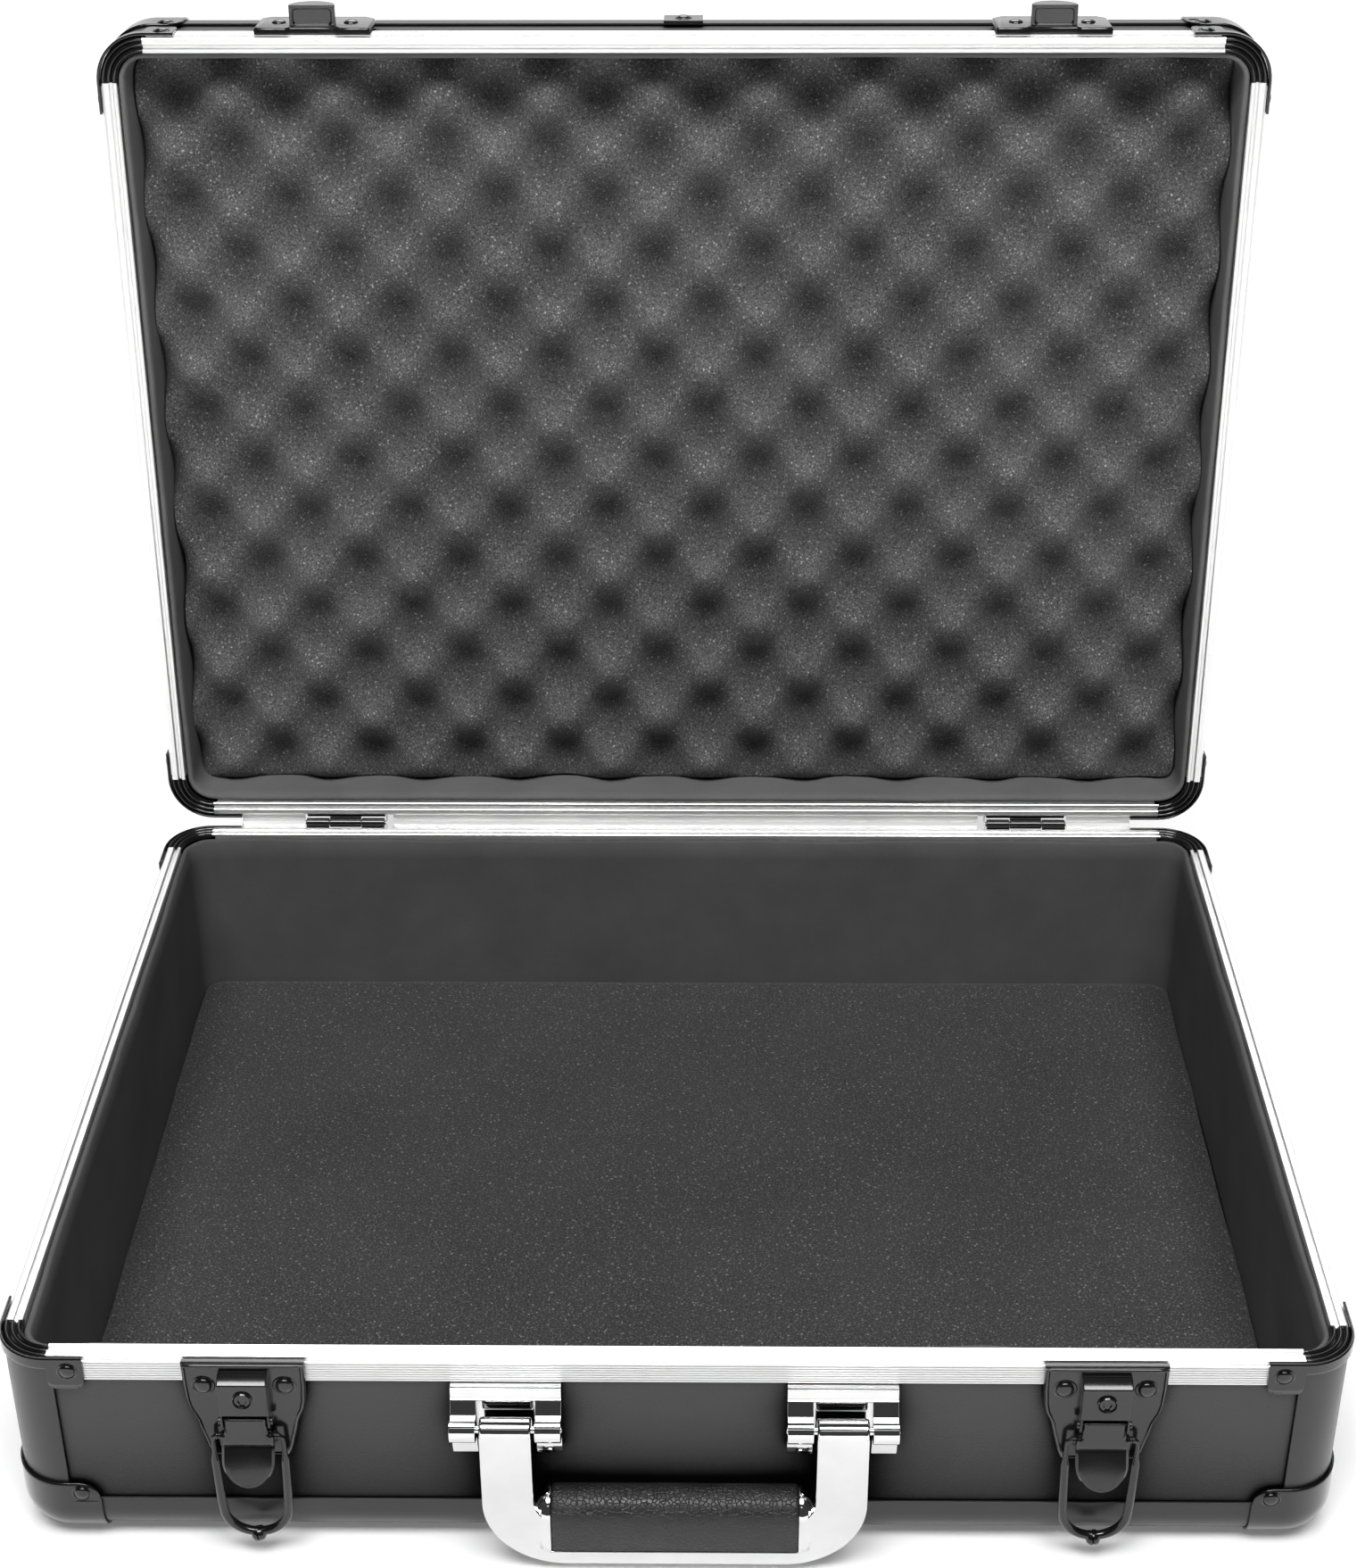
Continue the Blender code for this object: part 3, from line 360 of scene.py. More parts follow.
class Form:
    """Points and faces gathered from simple forms, in the frame of a matrix."""

    LEAST_RADIUS = 1e-6

    PLANES = {
        "XY": lambda a, b, c: (a, b, c),
        "XZ": lambda a, b, c: (a, c, b),
        "YZ": lambda a, b, c: (c, a, b),
    }

    def __init__(self, matrix=None):
        self.matrix = matrix or Matrix.Identity(4)
        self.points, self.faces = [], []

    def loft(self, rows, ring=True, loop=False, caps=True):
        """Joins rows of points. ring closes each row, loop joins the last row to the first."""
        start, count = len(self.points), len(rows[0])
        self.points += [self.matrix @ Vector(point) for row in rows for point in row]
        for i in range(len(rows) if loop else len(rows) - 1):
            a, b = start + i * count, start + (i + 1) % len(rows) * count
            for j in range(count if ring else count - 1):
                k = (j + 1) % count
                self.faces.append((a + j, a + k, b + k, b + j))
        if caps and ring and not loop:
            self.faces.append(tuple(start + j for j in reversed(range(count))))
            self.faces.append(tuple(start + (len(rows) - 1) * count + j for j in range(count)))
        return self

    def prism(self, outline, low, high, plane="XY"):
        place = self.PLANES[plane]
        return self.loft([[place(a, b, low) for a, b in outline], [place(a, b, high) for a, b in outline]])

    def box(self, low, high):
        outline = [(low[0], low[1]), (high[0], low[1]), (high[0], high[1]), (low[0], high[1])]
        return self.prism(outline, low[2], high[2])

    def turned(self, profile, centre, axis, steps=32):
        """Turns a profile of (radius, distance along the axis) about an axis."""
        centre, axis = Vector(centre), Vector(axis).normalized()
        across = axis.orthogonal().normalized()
        around = spokes(across, axis.cross(across), steps)
        rows = []
        for radius, along in profile:
            reach = max(radius, self.LEAST_RADIUS)
            rows.append([centre + axis * along + spoke * reach for spoke in around])
        return self.loft(rows)

    def rod(self, centre, radius, length, axis, ease=0.0002):
        """A cylinder with eased ends."""
        half, end = length / 2, radius - ease
        profile = [(end, -half), (radius, -half + ease), (radius, half - ease), (end, half)]
        return self.turned(profile, centre, axis)

    def rivet(self, spot, axis, radius=0.0026, height=0.0012):
        """A domed rivet head on a shallow collar."""
        collar = [(1.42, -0.0003), (1.36, 0.0001), (1.24, 0.0003)]
        collar += [(1.14, 0.0002), (1.08, -0.0002), (1.0, -0.0002)]
        profile = [(radius * wide, along) for wide, along in collar]
        for t in np.linspace(0, pi / 2, 8):
            profile.append((radius * cos(t), height * (0.15 + 0.85 * sin(t))))
        return self.turned(profile, spot, axis)

    def tube(self, route, radii, sides):
        """A round wire along a route of points, with a radius at each."""
        route = [Vector(point) for point in route]
        across, rows = None, []
        for i, (point, radius) in enumerate(zip(route, radii)):
            ahead = (route[min(i + 1, len(route) - 1)] - route[max(i - 1, 0)]).normalized()
            across = ahead.orthogonal() if across is None else across - ahead * across.dot(ahead)
            across.normalize()
            around = spokes(across, ahead.cross(across), sides)
            rows.append([point + spoke * radius for spoke in around])
        return self.loft(rows)

    def wire(self, start, length, radius, tip, steps, sides):
        """A straight wire along X with thin ends."""
        x, y, z = start
        route = [(x + length * k / steps, y, z) for k in range(steps + 1)]
        return self.tube(route, [tip, *[radius] * (steps - 1), tip], sides)

    def pressed(self, outline, steps):
        """A pressed sheet seen from the front: steps are (how far the outline shrinks, depth)."""
        return self.loft([[(x, y, z) for x, z in outline(shrink)] for shrink, y in steps])


def new_object(name, data):
    obj = bpy.data.objects.new(name, data)
    bpy.context.scene.collection.objects.link(obj)
    return obj


def new_mesh(name, form):
    mesh = bpy.data.meshes.new(name)
    mesh.from_pydata([tuple(point) for point in form.points], [], form.faces)
    return mesh


def make(name, form, look, body, bevel=0.0, smooth=32, thickness=0.0, inside=None):
    """Turns a form into a piece that rides on a body. thickness makes a sheet of an open form, behind its
    face, and inside is a point behind that face."""
    mesh = new_mesh(name, form)
    bm = bmesh.new()
    bm.from_mesh(mesh)
    bmesh.ops.remove_doubles(bm, verts=bm.verts, dist=1e-7)
    bmesh.ops.recalc_face_normals(bm, faces=bm.faces)
    if inside is not None:
        centre = form.matrix @ Vector(inside)
        if sum(face.normal.dot(face.calc_center_median() - centre) for face in bm.faces) < 0:
            bmesh.ops.reverse_faces(bm, faces=bm.faces)
    bm.to_mesh(mesh)
    bm.free()
    mesh.shade_smooth()
    mesh.set_sharp_from_angle(angle=radians(smooth))
    mesh.materials.append(LOOKS[look].material)
    obj = new_object(name, mesh)
    if thickness:
        sheet = obj.modifiers.new("sheet", "SOLIDIFY")
        sheet.thickness, sheet.offset, sheet.use_even_offset = thickness, -1, True
    if bevel:
        edges = obj.modifiers.new("edges", "BEVEL")
        edges.width, edges.segments, edges.limit_method = bevel, 3, "ANGLE"
        edges.angle_limit, edges.harden_normals = radians(smooth), True
    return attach(obj, body)


def show(node, form, look="hardware", **how):
    """Makes the piece that is seen in place of one CAD node."""
    obj = make(f"{node}_shown", form, look, frame["nodes"][node]["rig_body"], **how)
    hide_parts(node)
    return obj


def keep(node, look):
    """Shows a CAD node as it is, with a procedural material."""
    obj = frame["nodes"][node]
    obj.data.materials.clear()
    obj.data.materials.append(LOOKS[look].material)


# The tray that base and lid share. Its frame is at the middle of the rim, and the closed side is below


def outline_at(inset, run_steps):
    """The tray's plan at an inset, its straight runs cut into steps. Every inset has as many points, in
    the same order."""
    radius = max(CORNER_RADIUS - inset, 0.0)
    reach_x, reach_y = HALF_X - inset - radius, HALF_Y - inset - radius
    corners = ((1, -1, -90), (1, 1, 0), (-1, 1, 90), (-1, -1, 180))
    turns = [arc((sx * reach_x, sy * reach_y), radius, a, a + 90) for sx, sy, a in corners]
    points = []
    for turn, after in zip(turns, turns[1:] + turns[:1]):
        (x0, y0), (x1, y1) = turn[-1], after[0]
        steps = [k / run_steps for k in range(1, run_steps)]
        points += turn + [(x0 + (x1 - x0) * t, y0 + (y1 - y0) * t) for t in steps]
    return points


def ring(form, section, run_steps, wave=None):
    """Sweeps a closed section of (inset, height) round the tray's plan. wave moves each point of it."""
    rows = [[(x, y, z) for x, y in outline_at(inset, run_steps)] for inset, z in section]
    if wave:
        rows = [[wave(i, point) for point in row] for i, row in enumerate(rows)]
    return form.loft(rows, loop=True)


def side_matrix(side):
    """Takes a piece that runs along X, facing -Y at the front, to one side of the tray."""
    turn = {"south": 0, "east": 90, "north": 180, "west": 270}[side]
    reach = HALF_Y if side in ("south", "north") else HALF_X
    return Matrix.Rotation(radians(turn), 4, "Z") @ Matrix.Translation((0, -reach, 0))


def corner_matrix(sx, sy):
    """Takes a piece modelled at the corner, which points inwards along +X and +Y, to one of the four."""
    turn = {(-1, -1): 0, (1, -1): 90, (1, 1): 180, (-1, 1): 270}[(sx, sy)]
    return Matrix.Translation((sx * HALF_X, sy * HALF_Y, 0)) @ Matrix.Rotation(radians(turn), 4, "Z")


def corner_path(leg, step):
    """Stations round one corner, from the end of one leg to the end of the other: (distance from the
    corner along the leg or None on the arc, a function from inset to plan point)."""
    count = max(2, int((leg - CORNER_RADIUS) / step))
    legs = [CORNER_RADIUS + (leg - CORNER_RADIUS) * k / count for k in range(count + 1)]
    stations = [(along, lambda inset, at=along: (inset, at)) for along in reversed(legs)]
    for k in range(1, ARC):
        angle = radians(180 + 90 * k / ARC)

        def at_arc(inset, angle=angle):
            middle, radius = max(CORNER_RADIUS, inset), max(CORNER_RADIUS - inset, 0.0)
            return middle + radius * cos(angle), middle + radius * sin(angle)

        stations.append((None, at_arc))
    stations += [(along, lambda inset, at=along: (at, inset)) for along in legs]
    return stations


def rail_section():
    """The rim extrusion as (depth from the outer face, height), with a ribbed valance."""
    band, recess, ease, leg_low = 0.0020, 0.0008, 0.0003, -0.0095
    groove_near, groove_far, groove_low = 0.0037, 0.0051, -0.0013
    ribs, rib_depth, rib_round = 8, 0.00022, 0.00005
    pitch = (VALANCE - band) / ribs
    valance = []
    for k in range(ribs):
        low = -VALANCE + k * pitch
        valance += [(rib_depth, low), (rib_round, low + pitch * 0.25), (0.0, low + pitch * 0.5)]
        valance += [(rib_round, low + pitch * 0.75)]
    top = [(0.0, -band - 0.00015), (0.00015, -band), (recess - 0.0002, -band)]
    top += [(recess + 0.0001, -ease), (recess + 0.0006, 0.0)]
    face = [(groove_near - ease, 0.0), (groove_near, -ease), (groove_near, groove_low)]
    face += [(groove_far, groove_low), (groove_far, -ease), (groove_far + ease, 0.0)]
    face += [(RIM_WIDTH - ease, 0.0), (RIM_WIDTH, -ease)]
    leg = [(RIM_WIDTH, leg_low), (RIM_WIDTH - PROUD, leg_low), (RIM_WIDTH - PROUD, -RIM_WEB)]
    leg += [(SHEET, -RIM_WEB), (SHEET, -VALANCE)]
    return [*valance, *top, *face, *leg]


def rail(form, low, high, section):
    return form.loft([[(x, y, z) for y, z in section] for x in (low, high)])


def straight_rail(form, side):
    reach = HALF_X if side in ("south", "north") else HALF_Y
    end, leg_end = reach - CORNER_RADIUS - GAP, reach - EDGE_LEG - GAP
    section = rail_section()
    rail(form, -leg_end, leg_end, section)
    cap = [(y, z) for y, z in section if z > -RIM_WEB - 0.0001 and y > 0.0007]
    for low, high in ((-end, -leg_end), (leg_end, end)):
        rail(form, low, high, cap)


def hinge_rail(form):
    """The rear rail: its lip stops at the hinge slots, at the small square holes and at the corners."""
    straight_rail(form, "south")
    slot, hole, offset = 0.0182, 0.0013, 0.0202
    stops = [(-HALF_X, -HALF_X + RIM_CORNER_LEG + GAP), (HALF_X - RIM_CORNER_LEG - GAP, HALF_X)]
    for side in (-1, 1):
        for middle, half in ((side * HINGE_X, slot), (side * (HINGE_X - offset), hole)):
            stops.append((middle - half, middle + half))
    stops.sort()
    lip, lip_low = -HINGE_BACK + GAP, -0.0014
    section = [(SHEET, lip_low), (lip, lip_low), (lip, -0.0005), (lip + 0.0002, -GAP), (SHEET + PLATE, -GAP)]
    for (_, low), (high, _) in zip(stops, stops[1:]):
        rail(form, low, high, section)


def rim_corner(form):
    """A ribbed quarter ring on top of the corner."""
    inner, outer, crest_height = CORNER_RADIUS - RIM_WIDTH, CORNER_RADIUS - GAP, 0.0012
    ribs, samples = 3, 30
    crest = []
    for k in range(samples + 1):
        t = k / samples
        wave = 0.5 - 0.5 * cos(2 * pi * ribs * t)
        crest.append((inner + (outer - inner) * t, -crest_height + crest_height * wave**0.6))
    section = [(inner, -RIM_WEB), *crest, (outer, -RIM_WEB)]
    middle, rows = CORNER_RADIUS, []
    for k in range(2 * ARC + 1):
        angle = radians(180 + 90 * k / (2 * ARC))
        rows.append([(middle + r * cos(angle), middle + r * sin(angle), z) for r, z in section])
    return form.loft(rows)


def rounded_drop(along, start, end, radius):
    """How far a plate's edge rises at a station because its corners are round."""
    near = min(along - start, end - along)
    if near >= radius:
        return 0.0
    return radius - sqrt(max(radius ** 2 - (radius - near) ** 2, 0.0))


def rim_skirt(form):
    """The pressed skirt of a rim corner: a band round the arc, and two legs with round lower corners."""
    top, ease, band, drop = -0.0002, 0.0004, -0.0046, -0.0133
    leg_corner, rows = 0.0030, []
    for along, at in corner_path(RIM_CORNER_LEG, 0.0004):
        low = band
        if along is not None and along > CORNER_RADIUS:
            low = drop + rounded_drop(along, CORNER_RADIUS, RIM_CORNER_LEG, leg_corner)
        shown = [(-PROUD + 0.0009, top + 0.0002), (-PROUD + 0.0003, top), (-PROUD, top - ease)]
        shown += [(-PROUD, top - ease + (low - top + ease) * k / 6) for k in range(1, 7)]
        rows.append([(*at(inset), z) for inset, z in shown])
    return form.loft(rows, ring=False)


def ball_corner(form, height):
    """A pressed cap over the three sides of a corner, following its round edges."""
    leg, reach, round_end = 0.0300, 0.0270, 0.0075
    low, rows = -height - PROUD, []
    radius = EDGE_RADIUS + PROUD
    for along, at in corner_path(leg, 0.0005):
        top, end = -height + reach, CORNER_RADIUS
        if along is not None:
            top -= rounded_drop(along, -inf, leg, round_end)
            end = min(along, leg - 0.0004)
        wall = [(-PROUD, top + (low + radius - top) * k / 8) for k in range(8)]
        bend = [(-PROUD + radius + y, low + radius + z) for y, z in arc((0, 0), radius, 180, 270, 10)]
        under = [(end * k / 3 + (-PROUD + radius) * (1 - k / 3), low) for k in range(1, 4)]
        rows.append([(*at(inset), z) for inset, z in (*wall, *bend, *under)])
    return form.loft(rows, ring=False)


def corner_rivets(form, along, height):
    for spot, axis in (((along, -PROUD, height), (0, -1, 0)), ((-PROUD, along, height), (-1, 0, 0))):
        form.rivet(spot, axis)
    return form


def corner_post(form, height):
    inner = SHEET
    middle = (CORNER_RADIUS, CORNER_RADIUS)
    outside = arc(middle, CORNER_RADIUS, 180, 270)
    inside = arc(middle, CORNER_RADIUS - inner, 270, 180)
    outline = [(0.0, EDGE_LEG), *outside, (EDGE_LEG, 0.0), (EDGE_LEG, inner), *inside, (inner, EDGE_LEG)]
    return form.prism(outline, -height + EDGE_LEG + GAP, -RIM_WEB - 2 * GAP)


def edge_frame(form, height):
    low = -height
    outer = arc((EDGE_RADIUS, low + EDGE_RADIUS), EDGE_RADIUS, 180, 270)
    inner = arc((EDGE_RADIUS, low + EDGE_RADIUS), EDGE_RADIUS - SHEET, 270, 180)
    section = [(0.0, low + EDGE_LEG), *outer, (EDGE_LEG, low), (EDGE_LEG, low + SHEET)]
    section += [*inner, (SHEET, low + EDGE_LEG)]
    return ring(form, section, 1)


SOFT_RUN_STEPS = 60
FOAM_INSET = LINING_INSET + LINING + GAP


def unrest(point, scale, seed):
    """Smooth noise at a plan point, from about -1 to 1."""
    return noise.noise(Vector((point[0] * scale, point[1] * scale, seed))) * 1.6


def lining(form, height, wall_low):
    """A soft wall whose cut top edge wanders up and down a little."""
    outer, inner = LINING_INSET, LINING_INSET + LINING
    top, ease, walls = -0.0022, 0.0007, 9
    section = [(outer, wall_low), (outer, top - ease), (outer + ease, top)]
    section += [(inner - ease, top), (inner, top - ease)]
    section += [(inner, top - ease + (wall_low - top + ease) * k / walls) for k in range(1, walls + 1)]

    def wave(row, point):
        x, y, z = point
        drift = 0.0010 * unrest(point, 24.0, height) + 0.0003 * unrest(point, 110.0, 3.0)
        if row in (1, 2, 3, 4):
            z += drift
        bulge = 1 + 0.0016 * unrest(point, 15.0, 7.0 + z * 30) if row > 1 else 1
        return x * bulge, y * bulge, z

    return ring(form, section, SOFT_RUN_STEPS, wave)


def foam_pad(form, height, thickness):
    """The flat pad: its cut edge wanders, and its upper edge is soft."""
    low, ease, uneven = -height + PANEL, 0.0009, 0.0028
    levels = ((0, 0.0), (0, 0.5), (1, 0.7), (3, 0.9), (5, 1.0))
    rows = []
    for eases, share in levels:
        row = []
        for x, y in outline_at(FOAM_INSET + eases * ease, SOFT_RUN_STEPS):
            shrink = 1 - uneven * (0.5 + 0.5 * unrest((x, y), 30.0, 5.0))
            row.append((x * shrink, y * shrink, low + thickness * share))
        rows.append(row)
    return form.loft(rows)


def egg_lattice(x, y):
    """1 at a peak of the staggered lattice and -1 at the bottom of a pit."""
    pitch_x, pitch_y, start_x, start_y = 0.0428, 0.0457, 0.0100, -0.0143
    across = cos(2 * pi * (x - start_x) / pitch_x)
    return across * cos(2 * pi * (y - start_y) / pitch_y)


def egg_foam(form, height):
    """Convoluted foam: rounded peaks on a staggered lattice, cut off square at the tray's wall."""
    spacing, middle, swing, back = 0.0021, -0.0192, 0.0072, -height + PANEL
    uneven, uneven_reach, lumps, ease = 0.0012, 0.02, 0.0005, 0.0014
    reach_x, reach_y, radius = HALF_X - FOAM_INSET, HALF_Y - FOAM_INSET, CORNER_RADIUS - FOAM_INSET
    count_x, count_y = int(2 * reach_x / spacing), int(2 * reach_y / spacing)
    rows = []
    for j in range(count_y + 1):
        row = []
        for i in range(count_x + 1):
            x = -reach_x + 2 * reach_x * i / count_x
            y = -reach_y + 2 * reach_y * j / count_y
            over = Vector((abs(x) - reach_x + radius, abs(y) - reach_y + radius))
            if over.x > 0 and over.y > 0 and over.length > radius:
                over *= radius / over.length
                x = copysign(reach_x - radius + over.x, x)
                y = copysign(reach_y - radius + over.y, y)
            edge = min(reach_x - abs(x), reach_y - abs(y))
            cut = uneven * (0.5 + 0.5 * unrest((x, y), 26.0, 9.0)) * max(0.0, 1 - edge / uneven_reach)
            x -= copysign(cut, x) * (reach_x - abs(x) <= edge + 1e-6)
            y -= copysign(cut, y) * (reach_y - abs(y) <= edge + 1e-6)
            z = middle + swing * egg_lattice(x, y) + lumps * unrest((x, y), 70.0, 2.0)
            z -= ease * max(0.0, 1 - edge / spacing) ** 2
            row.append((x, y, z))
        rows.append(row)
    form.loft(rows, ring=False)
    right, left = [row[-1] for row in rows[1:]], [row[0] for row in reversed(rows[1:-1])]
    rim = [*rows[0], *right, *reversed(rows[-1][:-1]), *left]
    form.loft([rim, [(x, y, back) for x, y, _ in rim]], caps=False)
    start = len(form.points) - len(rim)
    form.faces.append(tuple(range(start, start + len(rim))))
    return form


def mark_painted_pit_shade(obj, matrix, drop):
    """Stores how hollow the foam is at each point, for the painted shade in its pits. The painted shade of a
    pit sits a little below its middle, as light falls from above.
    """
    level, contrast = 0.5, 0.62
    hollow = obj.data.attributes.new("hollow", "FLOAT", "POINT")
    back = matrix.inverted()
    for vertex, item in zip(obj.data.vertices, hollow.data):
        x, y, _ = back @ vertex.co
        item.value = min(max(level - contrast * egg_lattice(x, y + drop), 0.0), 1.0)


CORNERS = {"front_left": (-1, -1), "front_right": (1, -1), "rear_right": (1, 1), "rear_left": (-1, 1)}


def build_tray(prefix, matrix, height, flipped):
    """One tray. In the flipped lid, front and rear change places in the tray's own frame."""
    sides = {"front": "south", "right": "east", "rear": "north", "left": "west"}
    if flipped:
        sides |= {"front": "north", "rear": "south"}
    for place, side in sides.items():
        form = Form(matrix @ side_matrix(side))
        if place == "rear":
            hinge_rail(form)
        else:
            straight_rail(form, side)
        upright = "metal_z" if flipped else "metal_y"
        look = "metal_x" if place in ("front", "rear") else upright
        show(f"{prefix}_rail_{place}", form, look, smooth=25)
    rim_rivet, ball_rivet = (0.0253, -0.0055), (0.0237, -height + 0.0228)
    bar = (0.0206, -PROUD + 0.0001, -height + EDGE_LEG - 0.0008)
    for place, (sx, sy) in CORNERS.items():
        corner = matrix @ corner_matrix(sx, -sy if flipped else sy)
        ribs = rim_corner(Form(corner))
        show(f"{prefix}_rim_corner_{place}", ribs, smooth=50)
        skirt = rim_skirt(Form(corner))
        middle = (CORNER_RADIUS, CORNER_RADIUS, -0.02)
        make(f"{prefix}_rim_skirt_{place}", skirt, "hardware", prefix, thickness=PLATE, inside=middle)
        rivets = corner_rivets(Form(corner), *rim_rivet)
        make(f"{prefix}_rim_rivets_{place}", rivets, "hardware", prefix)
        cap = ball_corner(Form(corner), height)
        middle = (CORNER_RADIUS, CORNER_RADIUS, -height + CORNER_RADIUS)
        show(f"{prefix}_ball_corner_{place}", cap, thickness=PLATE, inside=middle, smooth=40)
        rivets = corner_rivets(Form(corner), *ball_rivet)
        rivets.wire(bar, 0.0088, 0.0004, 0.0001, 8, 10)
        make(f"{prefix}_ball_rivets_{place}", rivets, "hardware", prefix)
    show(f"{prefix}_edge_frame", edge_frame(Form(matrix), height), "extrusion", bevel=0.0002)
    inner = lining(Form(matrix), height, -height + PANEL + GAP)
    show(f"{prefix}_lining", inner, "lid_lining" if flipped else "lining", smooth=60)


def build_trays():
    build_tray("base", BASE_RIM, BASE_HEIGHT, False)
    build_tray("lid", LID_RIM, LID_HEIGHT, True)
    for place, (sx, sy) in CORNERS.items():
        post = corner_post(Form(BASE_RIM @ corner_matrix(sx, sy)), BASE_HEIGHT)
        show(f"base_corner_post_{place}", post, "extrusion", bevel=0.00025)
    for node in ("base_wall_band", "base_bottom_panel", "lid_top_panel"):
        keep(node, "board")
    outer, inner, low, high = 0.0012, 0.0052, -0.0323, -0.0025
    walls = ring(Form(LID_RIM), [(outer, low), (outer, high), (inner, high), (inner, low)], 1)
    show("lid_wall_band", walls, "board")
    posts = Form(LID_RIM)
    for sx, sy in CORNERS.values():
        posts.matrix = LID_RIM @ corner_matrix(sx, sy)
        corner_post(posts, LID_HEIGHT)
    make("lid_corner_posts", posts, "extrusion", "lid", bevel=0.00025)
    pad = foam_pad(Form(BASE_RIM), BASE_HEIGHT, 0.0030)
    show("base_foam_pad", pad, "pad", smooth=60)
    foam = show("lid_egg_foam", egg_foam(Form(LID_RIM), LID_HEIGHT), "foam", smooth=60)
    mark_painted_pit_shade(foam, LID_RIM, 0.0025)
    lid_front = LID_RIM @ Matrix.Rotation(pi, 4, "Z")
    build_centre_clip("base", BASE_RIM, -0.0745, -0.0566, -0.0612)
    build_centre_clip("lid", lid_front, -0.0355, -0.0235, -0.0295)


def build_centre_clip(body, matrix, low, high, rivet):
    """The small riveted clip in the middle of a tray's front, over the seam of its edge frame."""
    half, proud = 0.0078, 0.0014
    clip = Form(matrix @ side_matrix("south"))
    clip.prism([(-half, low), (half, low), (half, high), (-half, high)], -proud, 0.0002, "XZ")
    clip.rivet((0, -proud, rivet), (0, -1, 0))
    make(f"{body}_centre_clip", clip, "hardware", body, bevel=0.0004)


# Hinges


def build_hinge(side, x):
    """One hinge: a leaf on each body, with knuckles round the pin and two rivets."""
    reach, near, far, sheet = 0.0175, 0.0026, 0.0240, 0.0010
    face, knuckle, inner = -HINGE_BACK + GAP, 0.0021, 0.0070
    outer_knuckles = ((-reach, -inner - GAP), (inner + GAP, reach))
    halves = (
        ("base", Matrix.Translation((x, HINGE.y, HINGE.z)), -1, outer_knuckles),
        ("lid", LID_PIVOT @ Matrix.Translation((x, 0, 0)), 1, ((-inner, inner),)),
    )
    for body, matrix, way, knuckles in halves:
        leaf = Form(matrix)
        low, high = span_on(way, near, far)
        leaf.box((-reach, face, low), (reach, face + sheet, high))
        for start, end in knuckles:
            leaf.rod(((start + end) / 2, 0, 0), knuckle, end - start, (1, 0, 0))
            low, high = span_on(way, 0.0, 0.0030)
            leaf.box((start, face, low), (end, face + sheet, high))
        for across in (-0.0105, 0.0105):
            leaf.rivet((across, face + sheet, way * 0.0165), (0, 1, 0))
        show(f"hinge_{body}_leaf_{side}", leaf, bevel=0.0002)
    keep(f"hinge_pin_{side}", "hardware")


# Latches: their frame is on the case's front plane at the height of the rim


LOCK_Z = -0.0116
PAN_RIVET = (0.0030, 0.0016)


def pan_outline(shrink):
    """The latch plate, narrowing below the lock in a soft S."""
    sides = [(0.0208, -0.0004), (0.0207, -0.0100), (0.0203, -0.0165), (0.0196, -0.0200), (0.0184, -0.0228),
             (0.0175, -0.0250), (0.0167, -0.0290), (0.0157, -0.0330), (0.0146, -0.0375), (0.0134, -0.0415)]
    high, low = sides[0][1], sides[-1][1]
    right = [(x - shrink, min(max(z, low + shrink), high - shrink)) for x, z in sides]
    return mirrored(right)


def build_latch_plate(node, matrix):
    """The plate: a pan with a raised rim and a rolled top, the lock's housing, and a collar at the lock."""
    steps = ((0.0, -GAP), (0.0, -0.0024), (0.0005, -0.0032), (0.0011, -0.0035))
    steps += ((0.0016, -0.0030), (0.0022, -0.0030))
    pan = Form(matrix).pressed(pan_outline, steps)
    pan.wire((-0.0206, -0.0030, -0.0011), 0.0412, 0.0008, 0.0003, 20, 12)
    for across in (-0.0137, 0.0137):
        pan.rivet((across, -0.0030, -0.0095), (0, -1, 0), *PAN_RIVET)
    show(node, pan, smooth=35)
    housing = Form(matrix)
    half, face, back, wall = 0.0084, -0.0080, -0.0028, 0.0010
    profile = [(back, -0.0034), (-0.0050, -0.0036), (face, -0.0056), (face, -0.0193), (back, -0.0193)]
    housing.prism(profile, -half, half, "YZ")
    cheek = [(back, -0.0190), (face, -0.0190), (face, -0.0243), (-0.0064, -0.0262), (back, -0.0262)]
    for side in (-1, 1):
        housing.prism(cheek, *span_on(side, half, half - wall), "YZ")
    make(f"{node}_housing", housing, "hardware", "base", bevel=0.0007)
    profile = [(0.0034, 0.0), (0.0034, 0.0009), (0.0031, 0.0013), (0.0029, 0.0009), (0.0029, 0.0)]
    collar = Form(matrix).turned(profile, (0, face + 0.0002, LOCK_Z), (0, -1, 0), 40)
    make(f"{node}_collar", collar, "hardware", "base")


def build_lock(node, matrix):
    """The key's cylinder: a face with a keyhole, which is round above and a slot below."""
    lock = Form(matrix)
    radius, hole, slot, slot_end = 0.0028, 0.0016, 0.0009, 0.0025
    face, lip, back, eased, count = -0.0085, -0.0082, -0.0052, 0.93, 72
    outer, inner = [], []
    for k in range(count):
        angle = 2 * pi * k / count
        across, down = sin(angle), cos(angle)
        reach = hole
        if down > 0:
            reach = max(hole, min(slot / max(abs(across), 1e-6), slot_end / down))
        outer.append((radius * across, LOCK_Z - radius * down))
        inner.append((reach * across, LOCK_Z - reach * down))
    front = [(x * eased, LOCK_Z + (z - LOCK_Z) * eased) for x, z in outer]
    stages = ((outer, back), (outer, lip), (front, face), (inner, face), (inner, back))
    lock.loft([[(x, y, z) for x, z in line] for line, y in stages], loop=True)
    lock.rod((0, back, LOCK_Z), radius, 0.0006, (0, 1, 0))
    show(node, lock)


